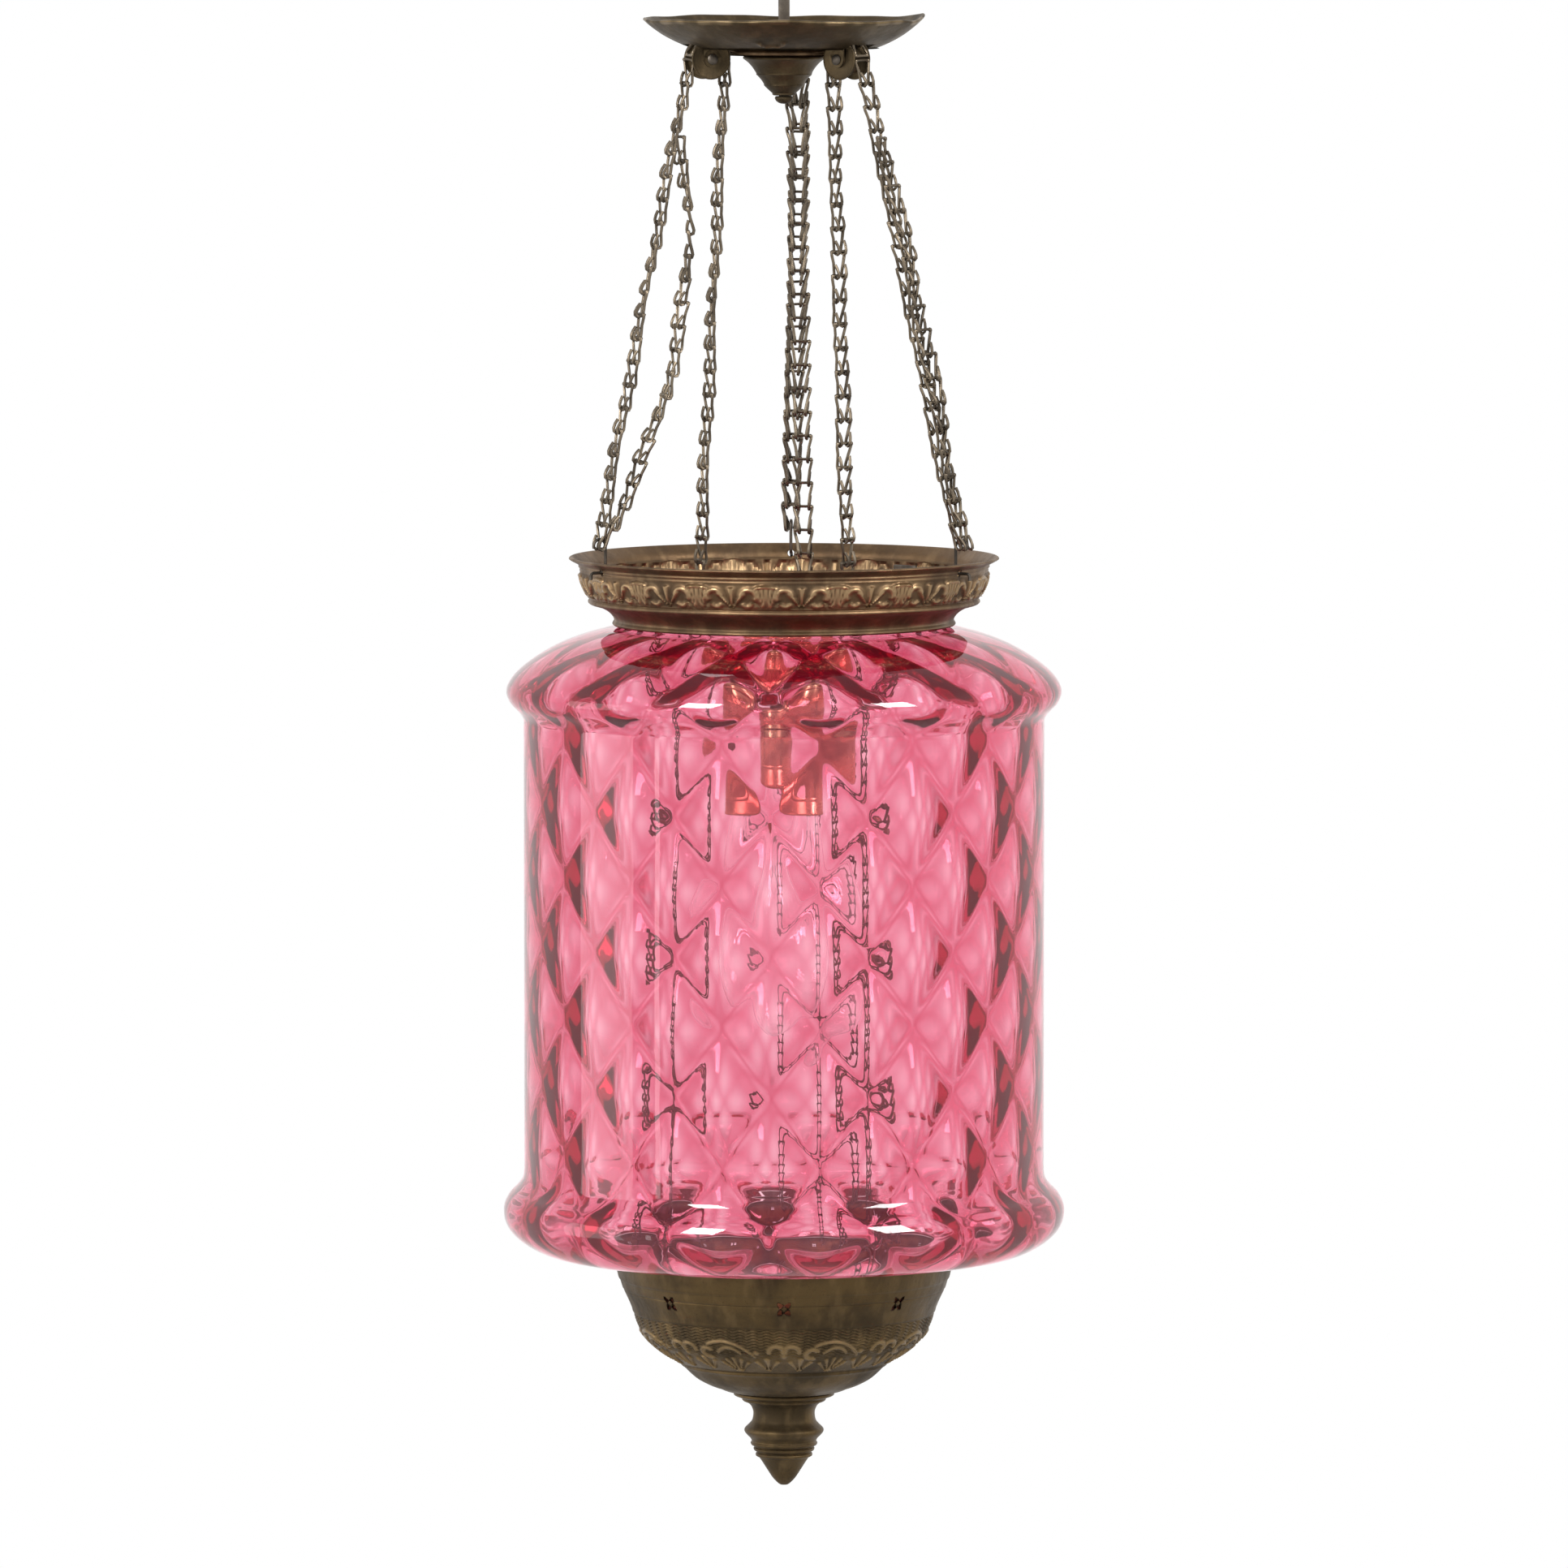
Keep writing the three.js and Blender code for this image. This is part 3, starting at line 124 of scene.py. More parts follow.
class Finish:
    """The nodes of a material or of the world. Its shader's sockets are set by name."""

    def __init__(self, owner, shader):
        owner.use_nodes = True
        self.owner = owner
        self.tree = owner.node_tree
        self.tree.nodes.clear()
        kind = "World" if isinstance(owner, bpy.types.World) else "Material"
        self.output = self.tree.nodes.new("ShaderNodeOutput" + kind)
        self.shader = self.node(shader)
        self.join(self.shader, self.output.inputs["Surface"])

    def join(self, value, socket):
        if isinstance(value, Value):
            self.tree.links.new(value.socket, socket)
        else:
            socket.default_value = value

    def node(self, kind, settings=None, sockets=None, output=0):
        node = self.tree.nodes.new(kind)
        for name, value in (settings or {}).items():
            setattr(node, name, value)
        for name, value in (sockets or {}).items():
            self.join(value, node.inputs[name])
        return Value(self, node.outputs[output])

    def feed(self, socket, value):
        """Gives one socket of the shader, by its name or number, a value."""
        self.join(value, self.shader.socket.node.inputs[socket])

    def set(self, **sockets):
        for name, value in sockets.items():
            self.feed(name.replace("_", " ").title().replace("Ior", "IOR"), value)

    def place(self, stretch):
        """The point on the piece in metres, stretched."""
        point = self.node("ShaderNodeTexCoord", output="Object")
        return self.node("ShaderNodeMapping", None, {"Vector": point, "Scale": stretch})

    def noise(self, size, detail=3.0, stretch=(1, 1, 1), roughness=0.55):
        """Soft spots of about that size in millimetres, from 0 to 1."""
        sockets = {"Vector": self.place(stretch), "Scale": 1000 / size, "Detail": detail, "Roughness": roughness}
        return self.node("ShaderNodeTexNoise", None, sockets)

    def blend(self, mask, first, second):
        """One colour where the mask is 0, the other where it is 1."""
        first = first if isinstance(first, Value) else (*first, 1.0)
        second = second if isinstance(second, Value) else (*second, 1.0)
        settings = {"data_type": "RGBA", "clamp_factor": True}
        return self.node("ShaderNodeMix", settings, {0: mask, 6: first, 7: second}, output=2)

    def bump(self, height, depth, normal=None):
        """A bump whose height runs over that many millimetres."""
        sockets = {"Height": height, "Distance": depth * MM, "Strength": 1.0}
        if normal is not None:
            sockets["Normal"] = normal
        return self.node("ShaderNodeBump", None, sockets)


def material(name, shader="ShaderNodeBsdfPrincipled"):
    return Finish(bpy.data.materials.new(name), shader)


def seen_clearly(finish):
    """1 for a ray from the camera, off something glossy or through glass, and 0 for a ray that carries light."""
    kinds = ("Is Camera Ray", "Is Glossy Ray", "Is Transmission Ray")
    camera_ray, glossy_ray, glass_ray = [finish.node("ShaderNodeLightPath", output=kind) for kind in kinds]
    return camera_ray.math("MAXIMUM", glossy_ray).math("MAXIMUM", glass_ray)


print("shader helpers ready")

# %% [markdown]
# ## The studio
#
# The lamp is seen from a long way off through a long lens, from slightly above, so it shows almost no
# perspective. It hangs well clear of a pale floor. What the camera sees directly, in metal or through glass is
# a white room. What lights the lamp is softer: a dim world, a tall key light left of the camera, a second tall
# light from the right and a faint one high up behind. Glass shows a lamp only as a reflection, so two more stand
# low on the left for the glass alone: a broad veil, which pales its left side, and a thin streak. In reflections
# the room is greyer straight up and straight down, so metal gets darker bands between the light ones.
#
# Each lamp is a rectangle that looks at the middle of the object. It is easiest to judge by its radiance, which is
# how bright its face is, so the energy that Blender asks for is worked out from that and its size.

# %% Camera, world, lamps and floor
VIEW_CENTRE = Vector((0.0, 0.0, -0.3605))
VIEW_RISE = math.radians(4.8)
VIEW_DISTANCE = 5.5
VIEW_HEIGHT = 0.6955

bpy.ops.object.camera_add()
camera = bpy.context.object
camera.name = "camera"
camera.location = VIEW_CENTRE + VIEW_DISTANCE * Vector((0, -math.cos(VIEW_RISE), math.sin(VIEW_RISE)))
camera.rotation_euler = (VIEW_CENTRE - camera.location).to_track_quat("-Z", "Y").to_euler()
camera.data.lens = camera.data.sensor_width * VIEW_DISTANCE / VIEW_HEIGHT
camera.data.clip_end = 50
scene.camera = camera

world = Finish(bpy.data.worlds.new("white_room"), "ShaderNodeBackground")
scene.world = world.owner
direction = world.node("ShaderNodeTexCoord", output="Generated")
upward = world.node("ShaderNodeSeparateXYZ", None, {0: direction}, output=2)
overhead = upward.math("ABSOLUTE").within(0.55, 0.9)
from_camera = world.node("ShaderNodeLightPath", output="Is Camera Ray")
reflected = world.blend(overhead * (1 - from_camera), (1, 1, 1), (0.45, 0.45, 0.45))
world.set(color=world.blend(seen_clearly(world), (0.40, 0.40, 0.41), reflected))

LAMPS = {
    "left": {"turn": -37, "rise": 31, "distance": 2.1, "width": 0.5, "length": 0.85, "radiance": 27},
    "right": {"turn": 50, "rise": 31, "distance": 2.1, "width": 0.5, "length": 0.85, "radiance": 23},
    "rear": {"turn": 190, "rise": 62, "distance": 2.4, "width": 0.8, "length": 0.8, "radiance": 3},
    "veil": {"turn": -84, "rise": -5, "distance": 2.2, "width": 1.2, "length": 1.7, "radiance": 1.7},
    "streak": {"turn": -56, "rise": -7, "distance": 2.2, "width": 0.09, "length": 0.6, "radiance": 3},
}
for name, lamp in LAMPS.items():
    aside, rise = math.radians(lamp["turn"]), math.radians(lamp["rise"])
    toward = Vector((math.sin(aside) * math.cos(rise), -math.cos(aside) * math.cos(rise), math.sin(rise)))
    place = VIEW_CENTRE + toward * lamp["distance"]
    bpy.ops.object.light_add(type="AREA", location=place)
    light = bpy.context.object
    light.name = name + "_light"
    light.rotation_euler = (VIEW_CENTRE - place).to_track_quat("-Z", "Y").to_euler()
    light.data.shape = "RECTANGLE"
    light.data.size = lamp["width"]
    light.data.size_y = lamp["length"]
    light.data.energy = lamp["radiance"] * math.pi * lamp["width"] * lamp["length"]

FLOOR_HEIGHT = -1.15
FLOOR_RADIUS = 2.4
GLOW_START, GLOW_FULL = 0.5, 2.2
bpy.ops.mesh.primitive_circle_add(vertices=96, radius=FLOOR_RADIUS, fill_type="NGON", location=(0, 0, FLOOR_HEIGHT))
floor = bpy.context.object
floor.name = "floor"
pale = material("pale_floor", "ShaderNodeMixShader")
paper = pale.node("ShaderNodeBsdfDiffuse", None, {"Color": (0.64, 0.63, 0.61, 1)})
white = pale.node("ShaderNodeEmission", None, {"Color": (1, 1, 1, 1), "Strength": 1.0})
here = pale.node("ShaderNodeTexCoord", output="Object")
from_middle = pale.node("ShaderNodeVectorMath", {"operation": "LENGTH"}, {0: here}, output=1)
edge = from_middle.within(GLOW_START, GLOW_FULL)
pale.feed(0, seen_clearly(pale) * (0.27 + 0.73 * edge))
pale.feed(1, paper)
pale.feed(2, white)
floor.data.materials.append(pale.owner)

scene.view_settings.view_transform = "Standard"
print("camera at", tuple(round(x, 3) for x in camera.location), "lens", round(camera.data.lens, 1))

# %% [markdown]
# ## Old brass, iron, steel and copper
#
# The brass was pressed from sheet, lacquered, and has gone brown. Three things happen over its surface: broad
# clouds of patina, fine speckle where the lacquer failed, and bright rubbed spots on what stands proud. The
# first two are noises. The third reads a `raised` attribute that the modelling cells write on pressed pieces,
# so the ornament's tops are lighter, as polish leaves them, and its hollows are dark: painted shade where shade
# falls into them, together with the patina that stays there. A finish is three colours: worn, base and dark.
# Iron, the steel of the chains and the lampholder's copper are the same recipe at other colours and scales, so
# one function makes them all. Sizes of spots and depths of dents are in millimetres.


# %% The metals
STREAK_WIDTH, DENT_WIDTH = 7, 9


def old_metal(name, colours, roughness=0.42, cloud=26, grain=0.9, depth=0.25, pressed=False):
    metal = material(name)
    worn, base, dark = colours
    clouds = metal.noise(cloud, detail=4).within(0.38, 0.66)
    speckle = metal.noise(grain, detail=5, roughness=0.7)
    streak = metal.noise(STREAK_WIDTH, detail=3, stretch=(1, 1, 0.25)).within(0.45, 0.7)
    colour = metal.blend(clouds * 0.75, base, dark)
    colour = metal.blend(speckle.within(0.56, 0.72) * 0.6, colour, dark)
    colour = metal.blend(streak * 0.22, colour, worn)
    matt = roughness + 0.16 * clouds + 0.18 * (speckle - 0.5)
    if pressed:
        raised = metal.node("ShaderNodeAttribute", {"attribute_name": "raised"}, output=2)
        # Painted shade with patina: the hollows go down to a third of the dark colour, and the proud tops take the
        # worn colour of rubbing
        hollow_shade_and_patina = (0.5 - raised).within(0.0, 0.45)
        proud = (raised - 0.5).within(0.05, 0.45)
        colour = metal.blend(hollow_shade_and_patina * 0.8, colour, tuple(0.35 * c for c in dark))
        colour = metal.blend(proud * (0.45 + 0.5 * speckle), colour, worn)
        matt = matt + 0.2 * hollow_shade_and_patina - 0.12 * proud
    dents = metal.noise(DENT_WIDTH, detail=2)
    relief = metal.bump(dents, depth * 1.6)
    relief = metal.bump(speckle, depth * 0.28, relief)
    metal.set(base_color=colour, roughness=matt, metallic=1.0 - 0.15 * clouds, normal=relief)
    return metal.owner


AGED = (0.38, 0.255, 0.135), (0.175, 0.108, 0.058), (0.066, 0.041, 0.023)
DARK = (0.23, 0.165, 0.09), (0.082, 0.058, 0.031), (0.031, 0.023, 0.013)
OLIVE = (0.26, 0.175, 0.083), (0.105, 0.069, 0.031), (0.038, 0.026, 0.013)
STEEL = (0.36, 0.29, 0.21), (0.165, 0.132, 0.094), (0.056, 0.044, 0.032)
IRON = (0.22, 0.19, 0.16), (0.09, 0.075, 0.06), (0.03, 0.026, 0.022)
COPPER = (0.85, 0.60, 0.42), (0.66, 0.38, 0.22), (0.34, 0.17, 0.10)
FINISHES = {
    "aged_brass": old_metal("aged_brass", AGED),
    "pressed_brass": old_metal("pressed_brass", AGED, pressed=True),
    "dark_brass": old_metal("dark_brass", DARK, 0.46, cloud=34),
    "worn_canopy": old_metal("worn_canopy", DARK, 0.46, cloud=34, pressed=True),
    "olive_brass": old_metal("olive_brass", OLIVE, 0.44),
    "pressed_olive": old_metal("pressed_olive", OLIVE, 0.44, pressed=True),
    "chain_steel": old_metal("chain_steel", STEEL, 0.42, cloud=14, grain=0.5, depth=0.08),
    "iron": old_metal("iron", IRON, 0.5, cloud=9, grain=0.6, depth=0.12),
    "copper": old_metal("copper", COPPER, 0.22, cloud=18, depth=0.05),
}
# The record has one slot for a metal, pressed or plain
print("metals:", sorted(FINISHES))

# %% [markdown]
# ## Glass
#
# Cranberry glass is pink because of what happens inside it, so the colour isn't painted on: the surface is
# clear and the body takes light away by its thickness. The walls leave a bright pink where they are thin, in the
# middle of each diamond, and go deep red by themselves along the ridges, where the light has three times as far to
# go. The coloured layer of such glass also scatters a little light, which a clear body can't do, and a very weak
# glow of its own stands for that.

# %% Glass, ceramic and nickel
def clear_body(name, colour, density, tint=(1, 1, 1), ior=1.5):
    glass = material(name)
    glass.set(base_color=(*tint, 1), roughness=0.0, metallic=0.0, ior=ior, transmission_weight=1.0)
    if density:
        inside = glass.node("ShaderNodeVolumeAbsorption", None, {"Color": (*colour, 1), "Density": density})
        glass.join(inside, glass.output.inputs["Volume"])
    return glass


pink = clear_body("pink_glass", (0.81, 0.12, 0.34), 170, tint=(1.0, 0.93, 0.94))
waves = pink.noise(60, detail=2)
pink.set(normal=pink.bump(waves, 0.35), emission_color=(1, 0.05, 0.16, 1), emission_strength=0.035)
FINISHES["pink_glass"] = pink.owner
bulb_glass = clear_body("clear_glass", (1, 1, 1), 0, tint=(0.96, 0.965, 0.96), ior=1.45)
# The unlit bulb glows faintly of itself: a painted glow that pales it in place of the lamps' reflections in its glass
bulb_glass.set(emission_color=(1, 0.9, 0.95, 1), emission_strength=0.035)
FINISHES["clear_glass"] = bulb_glass.owner

glaze = material("ceramic")
crackle = glaze.noise(6, detail=3)
cream = glaze.blend(crackle, (0.84, 0.79, 0.68), (0.72, 0.66, 0.55))
glaze.set(base_color=cream, roughness=0.2 + 0.15 * crackle)
FINISHES["ceramic"] = glaze.owner

plated = material("nickel")
haze = plated.noise(3, detail=4)
silvery = plated.blend(haze, (0.72, 0.70, 0.66), (0.50, 0.47, 0.43))
plated.set(base_color=silvery, roughness=0.22 + 0.2 * haze, metallic=1.0)
FINISHES["nickel"] = plated.owner
print("finishes:", len(FINISHES))

# %% [markdown]
# ## Turning, as on a lathe
#
# Most of the lamp is round. Its outline is a few points with a smooth line through them, so it can be read like a
# drawing. A turned piece starts as a single corner, which is extruded along the outline into a row of edges
# standing upright beside the axis, and a Screw modifier then sweeps the row once round. An outline that comes
# back to where it began makes a closed wall. All measures are in millimetres, as in the CAD model, and become
# metres on the way into Blender.


# %% Modelling helpers
def between(p0, p1, p2, p3, t):
    """One coordinate of a curve that passes p1 at t = 0 and p2 at t = 1, and heads for p0 and p3 beyond them."""
    bend, twist = 2 * p0 - 5 * p1 + 4 * p2 - p3, 3 * p1 - p0 - 3 * p2 + p3
    return 0.5 * (2 * p1 + (p2 - p0) * t + bend * t**2 + twist * t**3)


def through(points, steps=6):
    """A smooth line through the points, with that many steps from one to the next."""
    line = []
    for i, (a, b) in enumerate(zip(points, points[1:])):
        before = points[i - 1] if i > 0 else a
        after = points[i + 2] if i + 2 < len(points) else b
        for k in range(steps):
            line.append(tuple(between(*places, k / steps) for places in zip(before, a, b, after)))
    line.append(points[-1])
    return line


def inward(line, thickness):
    """The line moved to its left by the thickness."""
    moved = []
    for i, (x, z) in enumerate(line):
        x0, z0 = line[max(i - 1, 0)]
        x1, z1 = line[min(i + 1, len(line) - 1)]
        length = math.hypot(x1 - x0, z1 - z0) or 1
        moved.append((x - (z1 - z0) / length * thickness, z + (x1 - x0) / length * thickness))
    return moved


SAME_PLACE = 0.000002


def turn(name, line, sides=96, closed=True):
    """Turns a line of (radius, height) round the upright axis. A line with both ends off the axis is closed."""
    on_axis = line[0][0] == 0 or line[-1][0] == 0
    path = list(line) + [line[0]] if closed and not on_axis else list(line)
    bpy.ops.mesh.primitive_plane_add(size=0.001)
    piece = bpy.context.object
    piece.name = piece.data.name = name
    bpy.ops.object.mode_set(mode="EDIT")
    bpy.ops.mesh.select_all(action="SELECT")
    bpy.ops.mesh.merge(type="CENTER")
    bpy.ops.transform.translate(value=(path[0][0] * MM, 0, path[0][1] * MM))
    for (from_radius, from_height), (radius, height) in zip(path, path[1:]):
        step = ((radius - from_radius) * MM, 0, (height - from_height) * MM)
        bpy.ops.mesh.extrude_region_move(TRANSFORM_OT_translate={"value": step})
    bpy.ops.object.mode_set(mode="OBJECT")
    bpy.ops.object.transform_apply(location=True, rotation=True, scale=True)
    lathe = piece.modifiers.new("lathe", "SCREW")
    lathe.steps = lathe.render_steps = sides
    lathe.use_merge_vertices = True
    lathe.merge_threshold = SAME_PLACE
    bpy.ops.object.modifier_apply(modifier="lathe")
    bpy.ops.object.mode_set(mode="EDIT")
    bpy.ops.mesh.select_all(action="SELECT")
    bpy.ops.mesh.remove_doubles(threshold=SAME_PLACE)
    bpy.ops.mesh.normals_make_consistent(inside=False)
    bpy.ops.object.mode_set(mode="OBJECT")
    return piece


def corners_of(piece):
    """The places of the corners in metres, one row each."""
    points = np.empty(len(piece.data.vertices) * 3)
    piece.data.vertices.foreach_get("co", points)
    return points.reshape(-1, 3)


def move_corners(piece, points):
    piece.data.vertices.foreach_set("co", points.ravel())
    piece.data.update()


def cut_with(piece, cutter):
    cut = piece.modifiers.new("cut", "BOOLEAN")
    cut.operation, cut.object, cut.solver = "DIFFERENCE", cutter, "MANIFOLD"
    bpy.context.view_layer.objects.active = piece
    bpy.ops.object.modifier_apply(modifier="cut")
    bpy.data.objects.remove(cutter)


def together(parts, name=None):
    """Joins the parts into the first and settles its place into its mesh."""
    bpy.ops.object.select_all(action="DESELECT")
    for part in parts:
        part.select_set(True)
    bpy.context.view_layer.objects.active = parts[0]
    if len(parts) > 1:
        bpy.ops.object.join()
    bpy.ops.object.transform_apply(location=True, rotation=True, scale=True)
    whole = bpy.context.object
    if name:
        whole.name = whole.data.name = name
    return whole


def rod(radius, length, place, rotation=(0, 0, 0), sides=32):
    bpy.ops.mesh.primitive_cylinder_add(
        vertices=sides, radius=radius * MM, depth=length * MM, rotation=rotation, location=[c * MM for c in place]
    )
    return bpy.context.object


def cube(size, place, turned=0.0, bevel=0.0):
    bpy.ops.mesh.primitive_cube_add(size=1, location=[c * MM for c in place], rotation=(0, 0, turned))
    block = bpy.context.object
    block.scale = [c * MM for c in size]
    bpy.ops.object.transform_apply(location=False, rotation=False, scale=True)
    if bevel:
        round_off = block.modifiers.new("bevel", "BEVEL")
        round_off.width, round_off.segments = bevel * MM, 2
        bpy.ops.object.modifier_apply(modifier="bevel")
    return block


def finish(piece, finish_name, body, *nodes, angle=35):
    """Smooths, paints and hands a piece to its body, in place of its CAD nodes."""
    bpy.ops.object.select_all(action="DESELECT")
    piece.select_set(True)
    bpy.context.view_layer.objects.active = piece
    bpy.ops.object.shade_smooth_by_angle(angle=math.radians(angle))
    piece.select_set(False)
    piece.data.materials.clear()
    piece.data.materials.append(FINISHES[finish_name])
    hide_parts(*nodes)
    if body:
        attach(piece, body)
    print(f"{piece.name}: {len(piece.data.polygons)} faces for {', '.join(nodes)}")


# %% [markdown]
# ## The quilted glass shade
#
# The gather was blown into a mould with a diamond lattice and then smoothed outside, which pushed the lattice
# to the inside. So the outer side is a plain turned line, and the inner side is the same line moved in, with
# the lattice added: each diamond is a shallow dish, and the ridges between the dishes are thickest where four
# diamonds meet. Every dish is a lens, which is what breaks the chains behind it into zigzags. It shows every
# facet too, so the inner side has five times as many sides round as the outer one needs.
#
# The two sides are turned apart, and their open rims are bridged afterwards. The ridges could be sculpted, or
# raised by a texture and a Displace modifier, but each corner has to move by a rule that needs its exact angle and
# its distance along the glass, so the corners are moved in numbers. A dish is nearly flat in its middle and
# rises evenly away from it, across and along. The lattice is two sets of such dishes, one of them half a step
# aside and half a step up, and each corner takes the lower of the two, with a soft crease where they cross.

# %% Glass shade
GLASS_WALL = 2.4
QUILT_DEPTH = 5.6
QUILT_REPEATS = 16
QUILT_HEIGHT = 61.5
QUILT_TURN = math.radians(-3.2)
QUILT_NODE_Z = -489.5
DISH_SOFTNESS = 0.38
RIDGE_SOFTNESS = 0.11
OUTSIDE_SIDES, INSIDE_SIDES = 96, 480
WALL_RADIUS, WALL_TOP, WALL_FOOT, WALL_STEPS = 115.5, -334.5, -531, 104

shoulder = [
    (73.2, -281.6), (73.2, -290), (80, -291.6), (88.5, -293.9), (97, -296.9), (105, -300.8), (113.5, -306.3),
    (120.0, -312.2), (123.1, -318.2), (121.6, -323.6), (117.4, -328.2), (115.6, -331.2), (WALL_RADIUS, WALL_TOP),
]
wall = [(WALL_RADIUS, WALL_TOP - (WALL_TOP - WALL_FOOT) * k / WALL_STEPS) for k in range(1, WALL_STEPS)]
roll = [
    (WALL_RADIUS, WALL_FOOT), (116.1, -535.5), (118.5, -539.3), (122.3, -543.3), (124.62, -549), (123.5, -556),
    (118.2, -562.3), (108.5, -567.6), (95, -570),
]
outside_line = [(79.6, -276.3), (79.6, -278.6), (75.2, -280.2)] + through(shoulder) + through(roll)
outside_line += [(86, -570), (77, -570)]
inside_line = [(74, -276.4), (71.2, -278.4), (70.5, -281)]
inside_line += inward(through(shoulder, 3) + wall + through(roll, 3), -GLASS_WALL)[3:]
inside_line += [(86, -566.5), (77.3, -567.2)]
outside = turn("quilted_shade", outside_line, OUTSIDE_SIDES, closed=False)
inside = turn("quilted_inside", inside_line, INSIDE_SIDES, closed=False)


def dish(across, along):
    """How far the glass has risen from the middle of the nearest diamond of one set: 0 there, 1 at its corners."""
    rise = [np.hypot(np.abs((step + 1) % 2 - 1), DISH_SOFTNESS) - DISH_SOFTNESS for step in (across, along)]
    return sum(rise) / (math.hypot(1, DISH_SOFTNESS) - DISH_SOFTNESS)


COURSE_BLUR = 7
FADE_AT = (8, 20, 56, 74)  # along the glass from the neck: none, more on the shoulder, less on the wall
FADE_OUT = (34, 14)  # before the mouth
FADE_SHARE = (0, 1.3, 1.3, 1, 1, 0)


def quilt(piece, line, depth):
    """Raises the ridges between the diamonds on the inner side, measured along it from neck to mouth."""
    points = corners_of(piece)
    radius, height = np.hypot(points[:, 0], points[:, 1]) / MM, points[:, 2] / MM
    line = np.array(line)
    travel = np.concatenate([[0], np.cumsum(np.hypot(*np.diff(line, axis=0).T))])
    rings, ring_of = np.unique(np.round(np.stack([radius, height], axis=1), 2), axis=0, return_inverse=True)
    nearest = np.hypot(rings[:, :1] - line[:, 0], rings[:, 1:] - line[:, 1]).argmin(axis=1)[ring_of.ravel()]
    near = np.exp(-0.5 * ((travel[:, None] - travel) / COURSE_BLUR) ** 2) * np.gradient(travel)
    course = near @ (np.gradient(line, axis=0) / np.gradient(travel)[:, None])
    course /= np.hypot(*course.T)[:, None]
    across = QUILT_REPEATS * (np.arctan2(points[:, 1], points[:, 0]) + math.pi / 2 - QUILT_TURN) / math.pi
    along = 2 * (travel[nearest] - np.interp(-QUILT_NODE_Z, -line[:, 1], travel)) / QUILT_HEIGHT
    sets = [np.exp(-dish(across + shift, along + 1 - shift) / RIDGE_SOFTNESS) for shift in (0, 1)]
    thick = -RIDGE_SOFTNESS * np.log(sum(sets))
    fade = np.interp(travel[nearest], [*FADE_AT, *(travel[-1] - before for before in FADE_OUT)], FADE_SHARE)
    relief = depth * thick * fade
    toward = course[nearest][:, ::-1] * (1, -1) * relief[:, None]
    points[:, :2] *= ((radius + toward[:, 0]) / radius)[:, None]
    points[:, 2] += toward[:, 1] * MM
    move_corners(piece, points)
    return relief


swell = quilt(inside, inside_line, QUILT_DEPTH)
shade = together([outside, inside], "quilted_shade")
BETWEEN_RIMS = -0.4
for upper in (True, False):
    bpy.ops.object.mode_set(mode="EDIT")
    bpy.ops.mesh.select_mode(type="EDGE")
    bpy.ops.mesh.select_all(action="DESELECT")
    bpy.ops.mesh.select_non_manifold(
        extend=False, use_wire=False, use_multi_face=False, use_non_contiguous=False, use_verts=False
    )
    bpy.ops.object.mode_set(mode="OBJECT")
    heights = corners_of(shade)[:, 2]
    for edge in shade.data.edges:
        edge.select = edge.select and (heights[edge.vertices[0]] > BETWEEN_RIMS) == upper
    bpy.ops.object.mode_set(mode="EDIT")
    bpy.ops.mesh.bridge_edge_loops()
    bpy.ops.object.mode_set(mode="OBJECT")
bpy.ops.object.mode_set(mode="EDIT")
bpy.ops.mesh.select_mode(type="VERT")
bpy.ops.mesh.select_all(action="SELECT")
bpy.ops.mesh.normals_make_consistent(inside=False)
bpy.ops.object.mode_set(mode="OBJECT")
finish(shade, "pink_glass", "shade", "glass_shade", angle=60)
print("quilt: ridges up to", round(float(swell.max()), 2), "mm proud inside")

# %% [markdown]
# ## The crown ring
#
# The ring is pressed brass: a flared lip, a band of ornament, a bead and a hollow collar that grips the glass.
# The ornament repeats eighteen times: a fluted shell under a rounded brow, a curl and a foot on each side of it,
# and between two shells a small fan of leaves. It could be carved by hand in sculpt mode, but then each repeat
# would have to be matched to the others. Here each motif is a height drawn on the unrolled band in millimetres,
# so the same few functions serve the bowl below, and the heights also tell the finish what to polish and where
# to paint shade into the hollows.


# %% Motifs pressed into sheet
def bell(distance, width):
    return np.exp(-((distance / width) ** 2))


def arc_ridge(x, y, centre, radius, width, start, end):
    """A ridge along an arc, angles in degrees from +x."""
    dx, dy = x - centre[0], y - centre[1]
    angle = np.degrees(np.arctan2(dy, dx)) % 360
    reach = (angle - start) % 360
    span = (end - start) % 360
    inside = np.clip(1 - np.maximum(0, reach - span) / 12, 0, 1) * (reach <= span + 12)
    return bell(np.hypot(dx, dy) - radius, width) * inside


def fan(x, y, foot, spread, rays, length, sharp=2.0):
    """Flutes that spread from a foot."""
    dx, dy = x - foot[0], y - foot[1]
    angle, reach = np.arctan2(dx, dy), np.hypot(dx, dy)
    flutes = (0.5 + 0.5 * np.cos(angle / spread * math.pi * (rays - 1))) ** sharp
    return flutes * bell(np.maximum(0, np.abs(angle) - spread), 0.09) * bell(np.maximum(0, reach - length), 0.6)


def press(piece, height_at):
    """Moves the corners that height_at gives a height, outwards in millimetres, and notes how far they stand proud."""
    points = corners_of(piece)
    radius = np.hypot(points[:, 0], points[:, 1]) / MM
    turn_front = np.degrees(np.arctan2(points[:, 1], points[:, 0])) + 90
    relief, across, up = height_at(turn_front, radius, points[:, 2] / MM)
    scale = (radius + relief * across) / radius
    points[:, 0] *= scale
    points[:, 1] *= scale
    points[:, 2] += relief * up * MM
    move_corners(piece, points)
    proud = piece.data.attributes.new("raised", "FLOAT", "POINT")
    proud.data.foreach_set("value", np.clip(0.5 + relief / 1.6, 0, 1).astype(np.float32))


